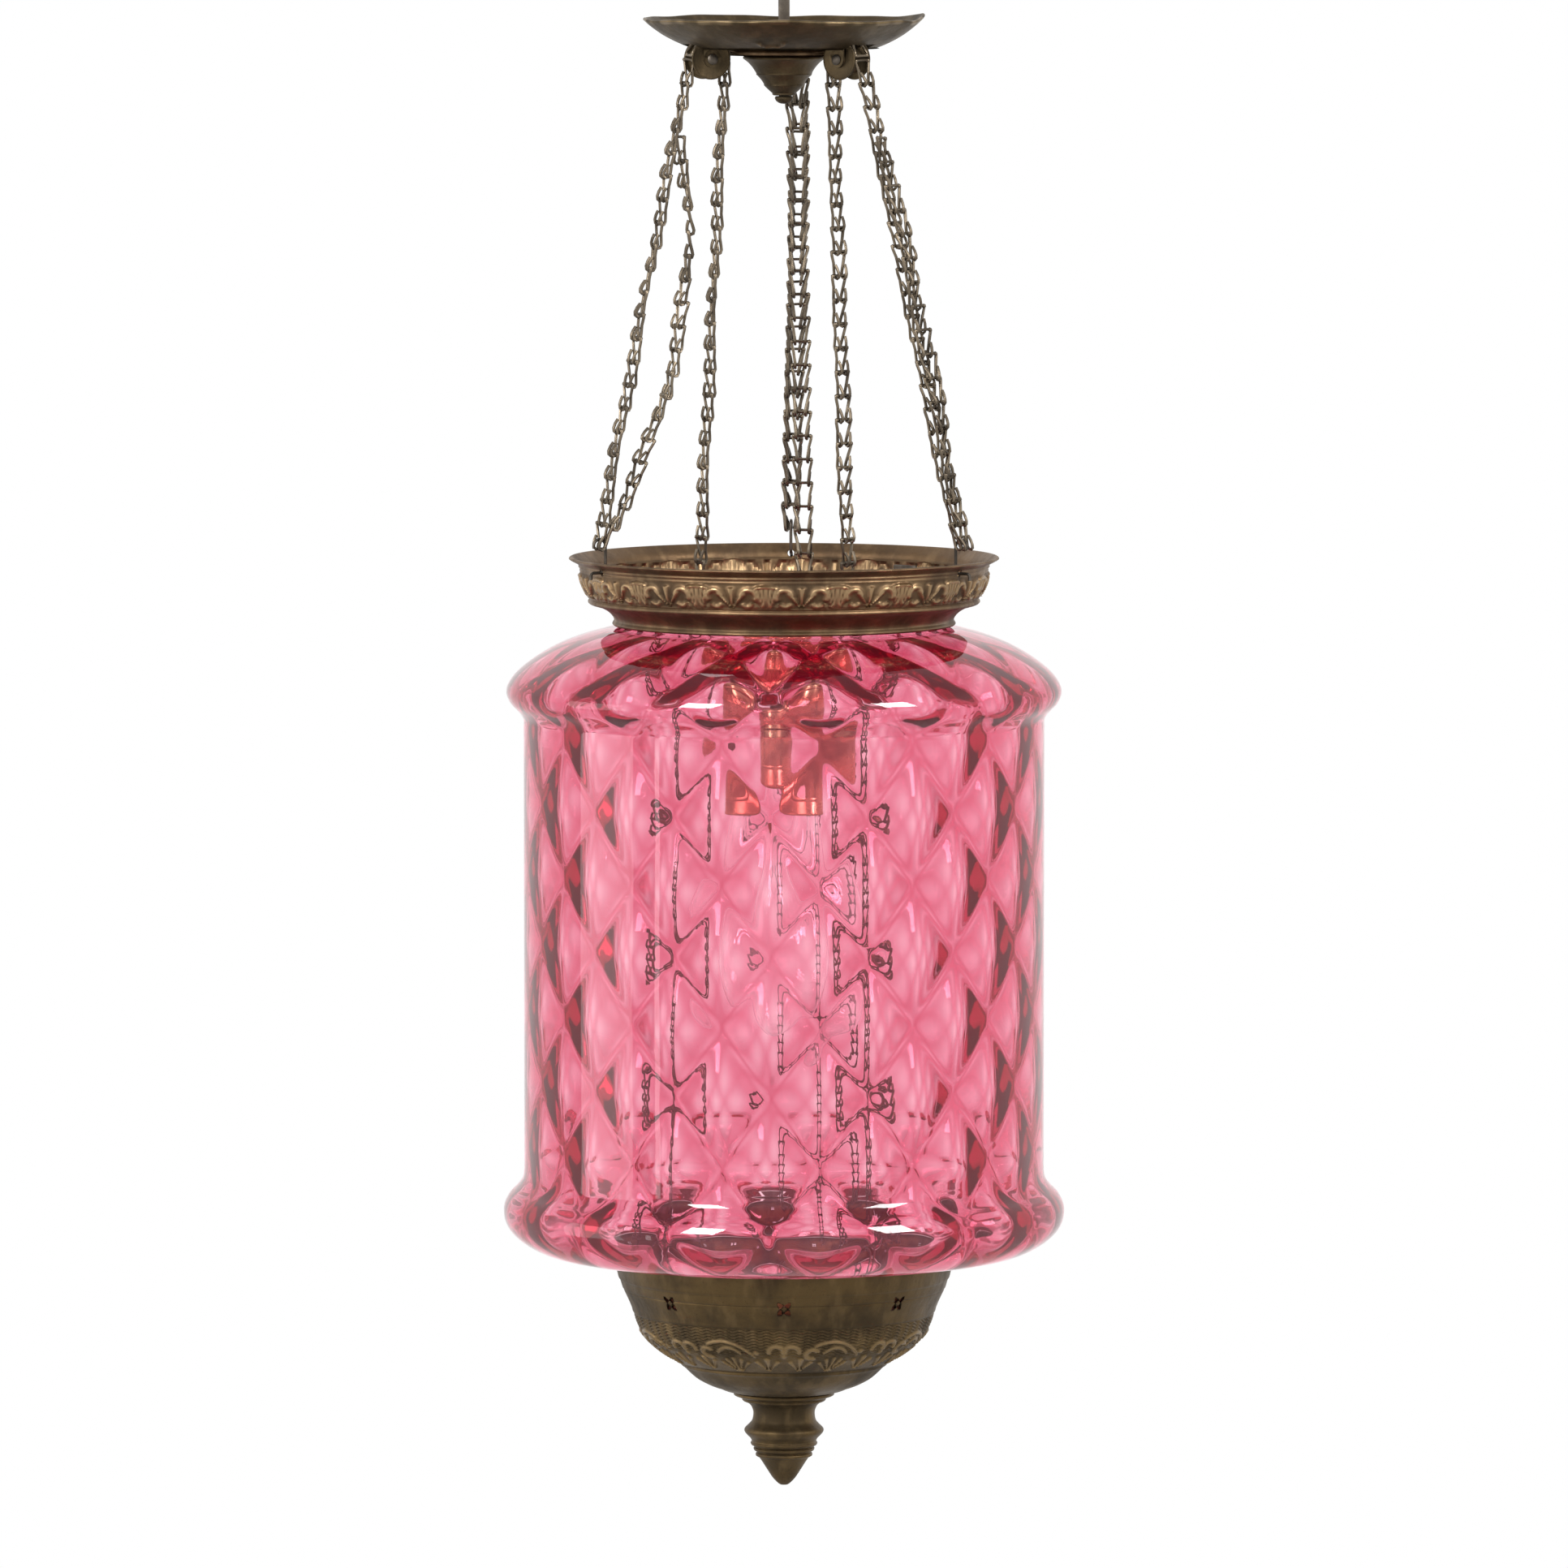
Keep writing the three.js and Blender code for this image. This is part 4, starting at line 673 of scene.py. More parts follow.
# %% Crown ring
STATIONS = [math.radians(angle) for angle in (200, 320, 80)]
PULLEY_REACH, PULLEY_Z = 36, -39
RING_HOOK_TURN = math.radians(8)
HOOK_HOLE_REACH, HOOK_HOLE_Z = 92, -263.8
SHELLS = 18
SHELL_TURN = -5.0
FRIEZE_FOOT, FRIEZE_TOP = -277.4, -265.2
BAND_STEPS = 28
ring_outside = through([
    (75.5, -289.6), (76.1, -288.9), (75.7, -288), (75.3, -287.2), (75.8, -285.8), (77.2, -284.1), (79.2, -282.6),
    (81.8, -281.3), (84.6, -280.5), (86.2, -280), (86.9, -279.1), (86.5, -278.2), (86.2, -277.8), (86.8, -277.2),
], 3)
ring_band = [
    (86.8 + 3.8 * math.sin(math.pi / 2 * k / BAND_STEPS), -277.2 + 12.0 * k / BAND_STEPS)
    for k in range(1, BAND_STEPS + 1)
]
ring_lip = through([
    (90.6, -265.2), (90.5, -264.4), (91.1, -263.6), (91.0, -262.9), (91.9, -262.1), (93.8, -261.1), (95.2, -260.3),
    (95.2, -259.8), (94.6, -259.4), (93.9, -259.5),
], 3)
ring_inside = through([
    (93.4, -260), (91.2, -262.2), (90.0, -263.8), (89.5, -265.2), (89.2, -266), (88.8, -266.4), (88.2, -270),
    (86.9, -274.4), (85.6, -277), (83.4, -278.7), (80.6, -280), (77.4, -282.2), (75.0, -285.2), (74.3, -288),
    (74.4, -289.4),
], 2)
ring = turn("pressed_crown_ring", ring_outside + ring_band + ring_lip[1:] + ring_inside, SHELLS * 42)


def ring_relief(front, radius, height):
    """Eighteen shells with their brows, curls and feet, and leaves and beads between them."""
    repeat = 2 * math.pi * 90 / SHELLS
    x = (((front - SHELL_TURN) / (360 / SHELLS) + 0.5) % 1 - 0.5) * repeat
    y = height - FRIEZE_FOOT
    on_band = (height > FRIEZE_FOOT) & (height < FRIEZE_TOP) & (radius > 86.5)
    leaf = np.abs(x) - repeat / 2
    side = np.abs(x)
    shell = 1.1 * (0.45 + 0.55 * fan(x, y, (0, -3.5), 0.42, 6, 13.2, 0.8)) * fan(x, y, (0, -3.5), 0.42, 1, 13.2)
    brow = 1.35 * bell(y - (10.4 - 0.035 * x**2), 0.95) * bell(np.maximum(0, side - 4.6), 0.7)
    curls = 1.2 * arc_ridge(side, y, (8.0, 5.6), 3.4, 1.15, 10, 200)
    leaves = 1.3 * fan(leaf, y, (0, 0.6), 0.72, 3, 9.0, 1.6)
    feet = arc_ridge(side, y, (8.6, 4.0), 2.6, 1.0, 200, 330)
    beads = 0.7 * bell(np.hypot(side - 4.8, y - 1.4), 1.1)
    height_here = np.maximum.reduce([shell, brow, curls, leaves, feet, beads]) - 0.35
    fade = np.clip(y / 0.8, 0, 1) * np.clip((FRIEZE_TOP - height) / 0.8, 0, 1)
    return height_here * fade * on_band, 1.0, 0.0


press(ring, ring_relief)
drills = []
for station in STATIONS:
    angle = station + RING_HOOK_TURN
    hole = (HOOK_HOLE_REACH * math.cos(angle), HOOK_HOLE_REACH * math.sin(angle), HOOK_HOLE_Z)
    drills.append(rod(1.5, 14, hole, (math.pi / 2, 0, angle + math.pi / 2), 24))
cut_with(ring, together(drills))
finish(ring, "pressed_brass", "shade", "crown_ring")

# %% [markdown]
# ## The bowl and its finial
#
# The bowl under the shade lets air up through eight small vents and hides the chain ends. A ground of fine wavy
# lines runs round it under the plain band, with scrolled arches over it: a long low arch between the vents and
# a pair of little ones below each vent. The vents are cut through afterwards with a boolean.

# %% Bottom bowl
VENTS = 8
VENT_REACH, VENT_Z = 71, -586.3
BAND_EDGE, SCROLL_FOOT = -596.0, -617.5
bowl_flange = [(77.4, -570.4), (77.4, -571.3), (76.2, -571.7), (75.2, -572.2)]
BOWL_SHEET = 1.1
bowl_band = through([
    (75.2, -572.2), (74.9, -575), (74.2, -578), (73.7, -580), (73.0, -581), (72.7, -582), (71.9, -584.6),
    (71.3, -585.2), (71.2, -586), (69.4, -589.8), (67.8, -593.6), (67.4, -595.2), (66.7, BAND_EDGE),
], 3)
bowl_scroll = through([
    (66.7, BAND_EDGE), (66.0, -598.6), (64.8, -601.6), (62.9, -604.8), (60.0, -608.2), (55.6, -612), (50.2, -615.8),
    (47.4, SCROLL_FOOT),
], 14)
bowl_foot = through([
    (47.4, SCROLL_FOOT), (46.0, -618.2), (45.9, -619.3), (44.6, -620.2), (42.0, -622.8), (38.6, -625.6),
    (33.4, -628.3), (29.4, -629.7), (26.8, -630.8), (23.0, -631.5),
], 3)
bowl_outside = bowl_flange + bowl_band[1:] + bowl_scroll[1:] + bowl_foot[1:] + [(3.8, -631.5)]
bowl_back = inward(bowl_outside[3::4], -BOWL_SHEET)[::-1]
bowl_inside = [(3.8, -630.4)] + [point for point in bowl_back if point[0] > 6] + [(73.6, -570.4)]
bowl = turn("pressed_bowl", bowl_outside + bowl_inside, 432)


def bowl_relief(front, radius, height):
    """A long low arch between the vents and a pair of little ones under each vent, over husks and petals."""
    repeat = 360 / VENTS
    x = ((front / repeat + 0.5) % 1 - 0.5) * repeat / 57.3 * 62
    y = (height - SCROLL_FOOT) / (BAND_EDGE - SCROLL_FOOT) * 27
    on_scroll = (height < BAND_EDGE) & (height > SCROLL_FOOT) & (radius > 46)
    outside = radius > np.interp(height, [-620, -617.5, -612, -604.8, -596], [43, 46.9, 54.8, 62.2, 66.2])
    ground = 0.3 * np.cos(2 * math.pi * (y + 0.6 * np.sin(x * 1.1)) / 1.7) * np.clip((y - 9) / 4, 0, 1)
    far = (x % 48.6) - 24.3
    arch = bell(y - (19.5 - 0.045 * (far + 2) ** 2 - 0.1 * far), 1.0)
    arch *= bell(np.maximum(0, np.abs(far) - 10.5), 0.5)
    lower = 0.8 * bell(y - (16.2 - 0.11 * (far + 1.0) ** 2), 1.1)
    lower *= bell(np.maximum(0, np.abs(far + 1) - 5.5), 0.5)
    curl = arc_ridge(far, y, (-11.5, 12.5), 2.8, 1.2, 30, 300)
    tail = 0.9 * bell(np.hypot(far - 11.8, y - 13.2), 1.3)
    paired = arc_ridge(np.abs(x), y, (3.4, 14.2), 3.2, 1.1, -20, 200)
    drop = 0.9 * bell(np.hypot(x, (y - 11.4) / 1.4), 1.1)
    petals = fan(np.abs(x) - 8, y, (0, 1.0), 0.7, 3, 8.5, 1.6)
    husk = fan(far, y, (0, 0.0), 0.8, 5, 9.5, 1.6)
    figure = np.maximum.reduce([arch, lower, curl, tail, paired, drop, petals, husk])
    relief = figure + ground * (1 - np.clip(figure * 2, 0, 1))
    fade = np.clip((BAND_EDGE - height) / 0.5, 0, 1) * np.clip((height - SCROLL_FOOT) / 1.0, 0, 1)
    return relief * fade * on_scroll * outside, 0.8, -0.6


press(bowl, bowl_relief)

cutters = []
for vent in range(VENTS):
    angle = math.radians(360 / VENTS * vent - 90)
    for lean in (45, -45):
        place = (VENT_REACH * math.cos(angle), VENT_REACH * math.sin(angle), VENT_Z)
        rotation = (math.radians(90), math.radians(lean), angle + math.radians(90))
        petal = rod(1.0, 12, place, rotation, 20)
        petal.scale = (4.0, 1.25, 1)
        cutters.append(petal)
cut_with(bowl, together(cutters))
finish(bowl, "pressed_olive", "bowl", "bottom_bowl")

# %% Finial
finial_tip = [(1.6, -673.7), (2.8, -672.9), (5.0, -670.6), (7.4, -667), (9.8, -663.2), (11.2, -661.2)]
finial_knop = [
    (11.3, -661.2), (12.5, -660.6), (12.6, -659.6), (12.0, -658.9), (13.2, -658.2), (13.6, -657.2), (13.0, -656.5),
    (14.4, -655.8), (14.9, -654.8), (14.4, -654), (15.0, -652.6), (16.4, -651.2), (17.6, -649.6), (17.4, -648.2),
    (15.6, -646.4), (14.2, -644.6), (13.7, -642), (13.9, -640), (14.8, -638), (16.4, -636.6), (18.2, -635.9),
    (18.7, -635.2), (18.7, -634.6), (20.4, -634), (22.2, -633.3), (22.4, -632.6), (22.2, -631.95),
]
finial_line = [(0, -673.9)] + through(finial_tip, 4) + through(finial_knop, 4)[1:]
finial_line += [(3.3, -631.95), (3.3, -644.4), (0, -644.4)]
finish(turn("turned_finial", finial_line), "olive_brass", "bowl", "finial")

# %% [markdown]
# ## The canopy
#
# The dish above is thin old sheet: its rim isn't quite round or level any more, its right end has lifted, a
# crescent is dented in its front, and chips along the rim show pale metal. A perfect lathe shape would look new,
# so the corners are moved by a few slow waves round the rim. Three slots let the pulleys through.

# %% Canopy dish
dish_under = [
    (2.6, -34.6), (39.0, -34.6), (41.0, -34.4), (46.8, -32.2), (52.6, -29.4), (56.5, -27.0), (60.0, -24.5),
    (61.9, -22.9), (62.5, -22.3), (62.5, -21.7), (61.9, -21.3), (61.2, -21.5),
]
dish_over = [
    (60.6, -22.2), (59.3, -23.6), (55.7, -26.3), (51.9, -28.5), (46.2, -31.2), (40.9, -33.3), (38.8, -33.5),
    (2.6, -33.5),
]
dish = turn("worn_canopy_dish", through(dish_under, 5) + through(dish_over, 5), 288)


def wave(degrees, repeats, start):
    return np.cos(np.radians(repeats * degrees + start))


points = corners_of(dish)
radius = np.hypot(points[:, 0], points[:, 1]) / MM
front = np.degrees(np.arctan2(points[:, 1], points[:, 0])) + 90
front = (front + 180) % 360 - 180
out = np.clip((radius - 41) / 21, 0, 1)
sway = 0.35 * wave(front, 3, 40) + 0.22 * wave(front, 7, -25) + 0.12 * wave(front, 13, 0)
lifted = 1.9 * bell(front - 92, 15) - 0.5 * bell(front - 66, 7) + 0.5 * bell(front + 84, 12)
crescent = bell(np.hypot((front + 6.5) * 0.85, (radius - 48.5) * 1.6) - 5.4, 1.1) * (radius < 49.5) * (radius > 42)
under = np.interp(radius, [41, 46.8, 52.6, 60], [-34.4, -32.2, -29.4, -24.5])
outside = np.abs(points[:, 2] / MM - under) < 0.5
points[:, 2] += (out**2 * (sway + lifted) - 0.9 * crescent * outside) * MM
points[:, :2] *= (1 - 0.006 * out * np.abs(wave(front, 4, 20)))[:, None]
move_corners(dish, points)
proud = dish.data.attributes.new("raised", "FLOAT", "POINT")
chips = np.clip((radius - 60.8) / 1.2, 0, 1) * np.clip(0.5 + 0.9 * wave(front, 9, 0) * wave(front, 23, 50), 0, 1)
proud.data.foreach_set("value", np.clip(0.5 + 0.5 * chips + 0.4 * crescent * outside, 0, 1).astype(np.float32))

slots = []
for station in STATIONS:
    middle = (PULLEY_REACH * math.cos(station), PULLEY_REACH * math.sin(station), -33)
    slots.append(cube((20, 15.4, 9), middle, station))
cut_with(dish, together(slots))
finish(dish, "worn_canopy", "canopy", "canopy_dish")

# %% Canopy disc, cone, tip and rod
disc_line = through([
    (2.6, -37.7), (23.6, -37.7), (24.9, -37.5), (25.6, -36.9), (25.7, -36.3), (25.5, -35.7), (24.8, -35.1),
    (23.8, -34.95), (2.6, -34.95),
], 3)
finish(turn("rolled_disc", disc_line, 128), "aged_brass", "canopy", "canopy_disc")

cone_steps = [
    (5.2, -54.4), (7.2, -52.6), (8.8, -51.0), (8.9, -50.4), (10.0, -48.6), (11.6, -46.8), (12.3, -46.2),
    (12.3, -45.6), (13.8, -43.2), (15.6, -41.1), (17.2, -39.8), (18.0, -39.2), (18.1, -38.7), (17.9, -38.2),
]
cone_line = [(2.6, -55.4), (4.6, -55.4), (5.2, -55.0)] + through(cone_steps, 4)
cone_line += [(16.6, -38.0), (14.4, -40.2), (4.6, -53.6), (2.6, -54.2)]
finish(turn("stepped_cone", cone_line, 128), "dark_brass", "canopy", "canopy_cone")

tip_line = through([(0, -59.15), (1.8, -58.9), (3.3, -58.0), (4.0, -56.9), (4.0, -56.2), (3.6, -55.75)], 4)
tip_line += [(2.6, -55.7), (2.6, -57.7), (0, -57.7)]
finish(turn("cone_tip_cap", tip_line, 48), "dark_brass", "canopy", "cone_tip")

bpy.ops.mesh.primitive_torus_add(
    major_radius=6.2 * MM, minor_radius=1.6 * MM, major_segments=56, minor_segments=16,
    location=(0, 0, -4.6 * MM), rotation=(math.pi / 2, 0, 0),
)
eye = bpy.context.object
bar = cube((5, 5, 22.6), (0, 0, -21.9), bevel=0.5)
stud = rod(2.2, 27, (0, 0, -43.9))
finish(together([eye, bar, stud], "eye_rod"), "iron", "canopy", "hanging_rod")

# %% [markdown]
# ## The pulleys
#
# Each chain runs over a little brass wheel that turns on a riveted pin between the cheeks of a strap bracket.
# One wheel, one pin and one bracket are made on the right of the lamp and copied round to the three stations.

# %% Pulleys
def copy_of(original, name):
    bpy.ops.object.select_all(action="DESELECT")
    original.select_set(True)
    bpy.context.view_layer.objects.active = original
    bpy.ops.object.duplicate()
    piece = bpy.context.object
    piece.name = piece.data.name = name
    return piece


def laid_over(piece):
    """From upright to lying on the pulley's axle."""
    piece.rotation_euler = (math.pi / 2, 0, 0)
    piece.location = (PULLEY_REACH * MM, 0, PULLEY_Z * MM)
    return together([piece])


wheel_half = [
    (1.8, -5.7), (3.6, -5.7), (3.9, -5.3), (7.9, -5.3), (8.5, -5.65), (8.9, -5.5), (9.0, -5.1), (8.8, -4.75),
    (8.2, -4.6), (7.4, -4.5), (6.2, -3.9), (5.5, -2.6), (5.3, 0),
]
wheel_line = through(wheel_half, 3) + through([(r, -z) for r, z in wheel_half[::-1]], 3)[1:]
wheel = laid_over(turn("wheel", wheel_line, 64))
pin_half = [(0, -8.5), (1.1, -8.35), (2.0, -7.95), (2.4, -7.55), (2.3, -7.5), (1.5, -7.5), (1.5, 0)]
pin = laid_over(turn("pin", pin_half + [(r, -z) for r, z in pin_half[-2::-1]], 32))

strap = []
for side in (-1, 1):
    strap.append(rod(4.0, 1.0, (PULLEY_REACH, side * 6.7, PULLEY_Z + 0.4), (math.pi / 2, 0, 0), 40))
    strap.append(cube((8, 1, 9.6), (PULLEY_REACH, side * 6.7, -33.8), bevel=0.2))
    strap.append(cube((8, 4.5, 1), (PULLEY_REACH, side * 8.95, -32.7), bevel=0.2))
strap.append(cube((8, 14.4, 1), (PULLEY_REACH, 0, -29.0), bevel=0.2))
bracket = together(strap, "bracket")
for number, station in enumerate(STATIONS, 1):
    for original, name, finish_name, body, node in (
        (wheel, "grooved_wheel", "dark_brass", f"pulley_{number}", "pulley_wheel"),
        (pin, "riveted_pin", "iron", "canopy", "pulley_pin"),
        (bracket, "strap_bracket", "dark_brass", "canopy", "pulley_bracket"),
    ):
        piece = copy_of(original, f"{name}_{number}")
        piece.rotation_euler = (0, 0, station)
        finish(together([piece]), finish_name, body, f"{node}_{number}")
for original in (wheel, pin, bracket):
    bpy.data.objects.remove(original)

# %% [markdown]
# ## The ladder chains and their hooks
#
# A link is one bent wire: a rung across the top, and from each end of it a leg that leans in, goes round the next
# rung from behind and comes back up in front as a small teardrop. The wire is a curve with a round bevel, made a
# mesh, with a small knot where each leg starts.
#
# At each station the chain runs over the pulley, down outside to the crown ring and down inside to the bowl, and
# a spare length hangs beside the outer run. An Array modifier lays a run out straight, link under link. Its
# corners are then moved to the run's own line, with a little sway, lean and twist from link to link, because old
# chain never hangs like new. A Curve modifier would bend it as well, but it can't give each link its own wobble.
# The runs stretch between two bodies when the shade is raised, so they are left out of both, with their place settled
# into their mesh.

# %% A link of ladder chain
LINK_PITCH = 10.6
CHAIN_WIRE, HOOK_WIRE, FILAMENT_LEG_WIRE, FILAMENT_WIRE = 0.7, 0.7, 0.28, 0.16
KNOT_RADIUS = 1.1


def wire(name, points, radius, rounding=1):
    """A wire of that radius through the points."""
    bpy.ops.curve.primitive_bezier_curve_add()
    strand = bpy.context.object
    strand.name = name
    strand.data.splines.clear()
    spline = strand.data.splines.new("POLY")
    spline.points.add(len(points) - 1)
    for point, place in zip(spline.points, points):
        point.co = (*(c * MM for c in place), 1)
    strand.data.dimensions = "3D"
    strand.data.bevel_depth = radius * MM
    strand.data.bevel_resolution = rounding
    strand.data.use_fill_caps = True
    bpy.ops.object.convert(target="MESH")
    return together([bpy.context.object], name)


half_link = [
    (3.6, 0, -0.05), (4.15, -0.1, -0.5), (3.95, -0.3, -1.6), (3.05, -0.55, -5.0), (2.5, -1.25, -8.6),
    (2.3, -1.5, -10.2), (2.25, -1.05, -11.6), (2.25, 0.1, -12.1), (2.25, 1.2, -11.5), (2.35, 1.6, -10.1),
    (2.7, 1.2, -8.0), (3.05, 0.35, -5.9),
]
link = wire("link", [(-x, y, z) for x, y, z in half_link[::-1]] + half_link, CHAIN_WIRE)
knots = []
for side in (-1, 1):
    place = (side * 3.8 * MM, -0.05 * MM, -0.3 * MM)
    bpy.ops.mesh.primitive_ico_sphere_add(subdivisions=1, radius=KNOT_RADIUS * MM, location=place)
    knots.append(bpy.context.object)
link = together([link] + knots, "link")
print("a link has", len(link.data.polygons), "faces")


# %% Laying chain along a line
def line_frame(points):
    """Length and a function that gives place and direction at a distance along the points."""
    points = np.array(points, float)
    travel = np.concatenate([[0], np.cumsum(np.linalg.norm(np.diff(points, axis=0), axis=1))])
    slope = np.gradient(points, travel, axis=0)
    slope /= np.linalg.norm(slope, axis=1)[:, None]

    def at(distance):
        within = np.clip(distance, 0, travel[-1])
        place = np.stack([np.interp(within, travel, points[:, k]) for k in range(3)], axis=1)
        ahead = np.stack([np.interp(within, travel, slope[:, k]) for k in range(3)], axis=1)
        return place + (distance - within)[:, None] * ahead, ahead

    return travel[-1], at


def chain(name, points, station, seed, wobble):
    """Chain laid along points in a station's own frame (out, sideways, up). Each seed sways in its own way."""
    length, at = line_frame(points)
    count = max(1, round(length / LINK_PITCH))
    pitch = length / count
    run = copy_of(link, name)
    corners = len(run.data.vertices)
    row = run.modifiers.new("row", "ARRAY")
    row.count = count
    row.use_relative_offset, row.use_constant_offset = False, True
    row.constant_offset_displace = (0, 0, -LINK_PITCH * MM)
    bpy.ops.object.modifier_apply(modifier="row")
    x, y, z = (corners_of(run) / MM).T
    number = np.arange(len(x)) // corners
    z += number * LINK_PITCH
    sway = wobble * np.sin(number * 12.9 + seed * 4.1)
    lean = wobble * np.sin(number * 7.3 + seed * 2.7)
    twist = wobble * np.sin(number * 0.9 + seed) * 0.16 + 0.10 * sway
    x, y = x * np.cos(twist) - y * np.sin(twist), x * np.sin(twist) + y * np.cos(twist)
    y = y + np.sin(0.10 * lean) * z * (z < -1.5)
    x = x + np.sin(0.05 * sway) * (z + 5)
    distance = number * pitch - z * (pitch / LINK_PITCH)
    place, ahead = at(distance)
    sideways = np.array([0.0, 1.0, 0.0])
    outward = np.cross(ahead, sideways)
    outward /= np.linalg.norm(outward, axis=1)[:, None]
    laid = place + x[:, None] * sideways + y[:, None] * outward
    c, s = math.cos(station), math.sin(station)
    turned_round = np.stack([laid[:, 0] * c - laid[:, 1] * s, laid[:, 0] * s + laid[:, 1] * c, laid[:, 2]], axis=1)
    move_corners(run, turned_round * MM)
    return run


def around(radius, angle, height):
    return np.array([radius * math.cos(angle), radius * math.sin(angle), height])


CHAIN_REACH = 8.3


def over_pulley(degrees):
    """A point of the chain on its wheel, from 0 on the outer side to 180 on the inner one."""
    angle = math.radians(degrees)
    return np.array([PULLEY_REACH + CHAIN_REACH * math.cos(angle), 0, PULLEY_Z + CHAIN_REACH * math.sin(angle)])


# %% Chains, ring hooks and bowl hooks
WRAP_END = 11
HOOK_REACH, HOOK_Z = 91.8, -252.0
BOWL_HOOK_REACH, BOWL_HOOK_Z, BOWL_HOOK_TURN = 54, -566, math.radians(-6)
RING_HOOK_LOOP, BOWL_HOOK_LOOP = 2.91, 2.05
TAIL_TOP_Z = -73
TAIL_BULGES = (17, -1.5, -1.5)
TAIL_ASIDE, HALF_PAIR = 2.5, 0.85
FIRST_RUNG = 1.7


def straight(start, end):
    down = (end - start) / np.linalg.norm(end - start)
    top = start + FIRST_RUNG * down
    return [top, end]


def arc(centre, radius, start, end, steps):
    angles = np.radians(np.linspace(start, end, steps + 1))
    return [(centre[0] + radius * math.cos(a), 0, centre[1] + radius * math.sin(a)) for a in angles]


def about_axis(points, angle):
    """Points of the upright plane through +X, turned round the axis."""
    return [(x * math.cos(angle), x * math.sin(angle), z) for x, _, z in points]


ring_hook_bend = arc((HOOK_REACH, HOOK_Z), RING_HOOK_LOOP, -20, 180, 14)
ring_hook_bend += arc((HOOK_REACH - RING_HOOK_LOOP + 2, HOOK_HOLE_Z + 2), 2, 180, 270, 6)
ring_hook_bend += [(94.9, 0, HOOK_HOLE_Z), (95.8, 0, -264.3), (96.0, 0, -265.2), (96.0, 0, -266.8)]
bowl_hook_bend = arc((BOWL_HOOK_REACH, BOWL_HOOK_Z), BOWL_HOOK_LOOP, -40, 180, 12)
bowl_hook_bend += [
    (51.95, 0, -579), (52.4, 0, -581), (53.8, 0, -582.4), (56.0, 0, -583), (69.0, 0, -583), (69.8, 0, -582.4),
    (72.6, 0, -576),
]
for number, (station, bulge) in enumerate(zip(STATIONS, TAIL_BULGES), 1):
    inner_place = around(HOOK_REACH - HALF_PAIR, RING_HOOK_TURN, HOOK_Z)
    outer_place = around(HOOK_REACH + HALF_PAIR, RING_HOOK_TURN, HOOK_Z)
    run_end, tail_end = (outer_place, inner_place) if bulge > 0 else (inner_place, outer_place)
    start = over_pulley(WRAP_END)
    share = (start[2] - TAIL_TOP_Z) / (start[2] - run_end[2])
    tail_top = start + (run_end - start) * share
    tail_top[0] -= math.copysign(TAIL_ASIDE, bulge)
    middle = (tail_top + tail_end) / 2 - np.array([2 * bulge, 0, 0])
    tail_line = [(1 - t) ** 2 * tail_top + 2 * t * (1 - t) * middle + t * t * tail_end for t in np.linspace(0, 1, 40)]
    bowl_place = around(BOWL_HOOK_REACH, BOWL_HOOK_TURN, BOWL_HOOK_Z)
    wrap_line = [over_pulley(a) for a in np.linspace(WRAP_END, 180 - WRAP_END, 30)]
    for name, line, lower_body, wobble in (
        ("wrapped_chain", wrap_line, None, 0.0),
        ("outer_chain", straight(start, run_end), "shade", 1.0),
        ("chain_tail", tail_line, "shade", 1.5),
        ("inner_chain", straight(over_pulley(180 - WRAP_END), bowl_place), "bowl", 0.8),
    ):
        run = chain(f"linked_{name}_{number}", line, station, number + len(name), wobble)
        finish(run, "chain_steel", None if lower_body else "canopy", f"{name}_{number}", angle=60)
        if lower_body:
            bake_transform(run)

    for name, bend, hook_turn, body in (
        ("ring_hook", ring_hook_bend, RING_HOOK_TURN, "shade"),
        ("bowl_hook", bowl_hook_bend, BOWL_HOOK_TURN, "bowl"),
    ):
        hook = wire(f"bent_{name}_{number}", about_axis(bend, hook_turn + station), HOOK_WIRE, 2)
        finish(hook, "iron", body, f"{name}_{number}", angle=60)
bpy.data.objects.remove(link)

# %% [markdown]
# ## Inside the shade
#
# A strap across the glass rim carries a threaded tube, and the tube carries a coppery lampholder with its lamp.
# Through the pink glass these read as warm broken shapes, so their outlines count more than their fine detail.
# The threads are plain rings and not a true screw, which can't be told apart at this size. The bulb is a wall of
# glass with nothing in it but a glass stem, two legs and the zigzag of the filament.

# %% Lampholder
STRAP_TURN = math.radians(47)
STRAP_Z, STRAP_END = -274.9, 79.6
strap_parts = [cube((161.2, 13, 2), (0, 0, STRAP_Z), STRAP_TURN, bevel=0.4)]
for out in (-STRAP_END, STRAP_END):
    end = (out * math.cos(STRAP_TURN), out * math.sin(STRAP_TURN), -271.1)
    strap_parts.append(cube((2, 13, 8), end, STRAP_TURN, bevel=0.4))
strap = together(strap_parts, "flat_strap")
cut_with(strap, rod(5.3, 10, (0, 0, STRAP_Z), sides=48))
finish(strap, "iron", "shade", "holder_strap")

THREADS = 39
threads = []
for k in range(THREADS):
    threads += [(5.0, -304.4 + k), (4.6, -303.9 + k)]
nipple_line = [(3.4, -304.9), (4.6, -304.9)] + threads + [(4.6, -265.9), (3.4, -265.9)]
finish(turn("threaded_tube", nipple_line, 48), "aged_brass", "shade", "holder_nipple")

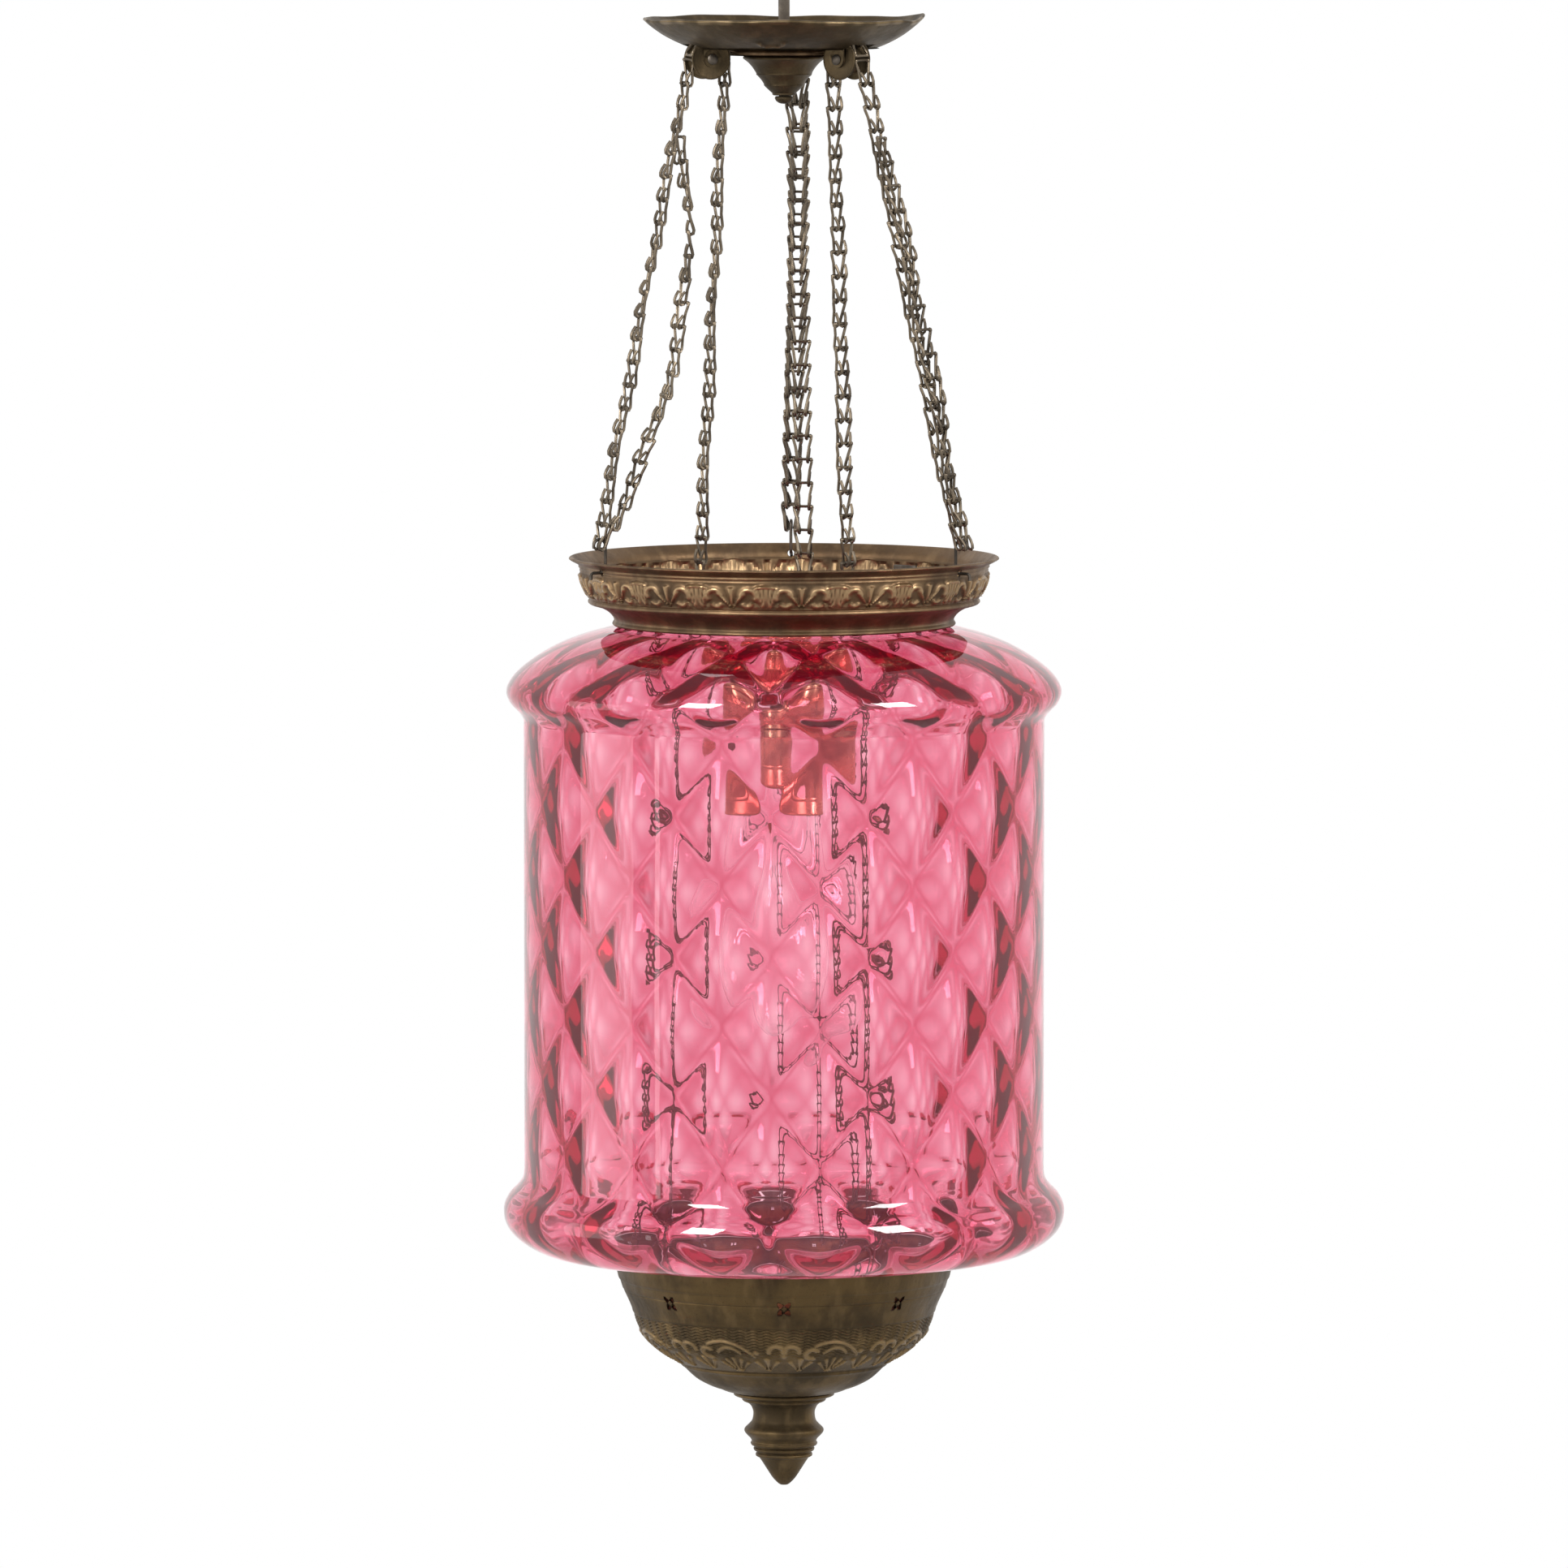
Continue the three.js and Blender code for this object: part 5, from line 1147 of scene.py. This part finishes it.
cap_over = [
    (5.4, -303.6), (5.4, -301.2), (5.8, -300.9), (6.8, -300.9), (7.2, -301.4), (7.1, -302.8), (8.6, -303.4),
    (12.4, -304.4), (15.8, -306.4), (18.2, -309.4), (19.4, -313), (19.9, -314.2), (19.9, -315.2), (19.5, -315.9),
]
cap_under = [(18.4, -313.4), (17.2, -310), (14.9, -307.4), (11.9, -305.6), (8.4, -304.6), (5.6, -304.4)]
cap_line = through(cap_over, 4) + [(18.5, -315.9)] + through(cap_under, 4)
finish(turn("domed_cap", cap_line), "copper", "shade", "holder_cap")

shell_line = [
    (9.4, -316.25), (19.0, -316.25), (19.5, -316.7), (19.5, -325.4), (19.9, -326.0), (20.2, -326.9), (19.9, -327.8),
    (19.5, -328.4), (19.5, -357.6), (19.2, -358.0), (19.2, -358.6), (19.5, -359.0), (19.5, -360.2), (19.2, -360.6),
    (19.2, -361.2), (19.5, -361.6), (19.5, -369.2), (19.9, -369.7), (20.2, -370.6), (20.1, -371.7), (19.4, -372.2),
    (18.6, -372.2), (18.3, -371.8), (18.3, -317.5), (9.4, -317.5),
]
finish(turn("ringed_shell", shell_line), "copper", "shade", "holder_shell", angle=50)

# %% Bulb, its screw cap and its filament
SCREW_TURNS, SCREW_PITCH = 6, 3.3
BULB_WALL = 0.7
screw = [(0, -360.2), (4.4, -360.2), (4.4, -363.0), (12.1, -363.0), (12.4, -362.6)]
for k in range(SCREW_TURNS):
    up = SCREW_PITCH * k
    screw += [(12.4, -361.8 + up), (13.1, -361.0 + up), (13.1, -360.2 + up), (12.4, -359.4 + up)]
screw += [(12.3, -342.4), (9.2, -339.6), (5.2, -338.2), (4.8, -336.4), (3.6, -336.05), (0, -336.05)]
finish(turn("screw_cap", screw, 64), "nickel", "shade", "bulb_cap")

pear = through([
    (0, -477.3), (6, -476.8), (13.5, -473.9), (20.8, -467.6), (26.2, -458.2), (28.8, -447.2), (28.9, -436.8),
    (27.2, -424.6), (23.6, -411.6), (19.2, -399), (15.6, -388), (13.6, -378.6), (12.8, -371), (12.6, -363.3),
])
bulb_line = pear + [(r - BULB_WALL, z) for r, z in pear[:0:-1] if r > 1.2] + [(0, -476.5)]
finish(turn("pear_bulb", bulb_line), "clear_glass", "shade", "bulb_glass", angle=60)

stem_line = through([
    (0, -393.2), (1.4, -393.1), (2.4, -391.6), (2.2, -388), (1.5, -383), (1.6, -377), (2.6, -371.5), (3.8, -366.4),
    (4.0, -363),
], 5)
stem_line += [(4.0, -360.6), (0, -360.6)]
finish(turn("glass_stem", stem_line, 48), "clear_glass", "shade", "filament_mount", angle=60)

LEG = [(1.2, -388), (1.6, -393), (6.6, -409), (8, -413.6)]
parts = [wire("filament_leg", [(side * x, 0, z) for x, z in LEG], FILAMENT_LEG_WIRE) for side in (-1, 1)]
zigzag = []
for k in range(9):
    bow = math.pi * k / 8
    zigzag.append((8 * math.cos(bow), 2.4 * math.sin(bow) - 1, -413.6 + 5.5 * (k % 2)))
parts.append(wire("filament", zigzag, FILAMENT_WIRE, 0))
finish(together(parts, "filament_and_legs"), "iron", "shade", "filament_mount", angle=60)

# %% Finishes of the CAD pieces that stay
slot_of = {part["node"]: part["material_slot"] for part in frame["record"]["subparts"]}
for node, piece in frame["nodes"].items():
    if not piece.hide_render:
        piece.data.materials.clear()
        piece.data.materials.append(FINISHES[slot_of[node]])
        print("kept from the frame:", node, slot_of[node])
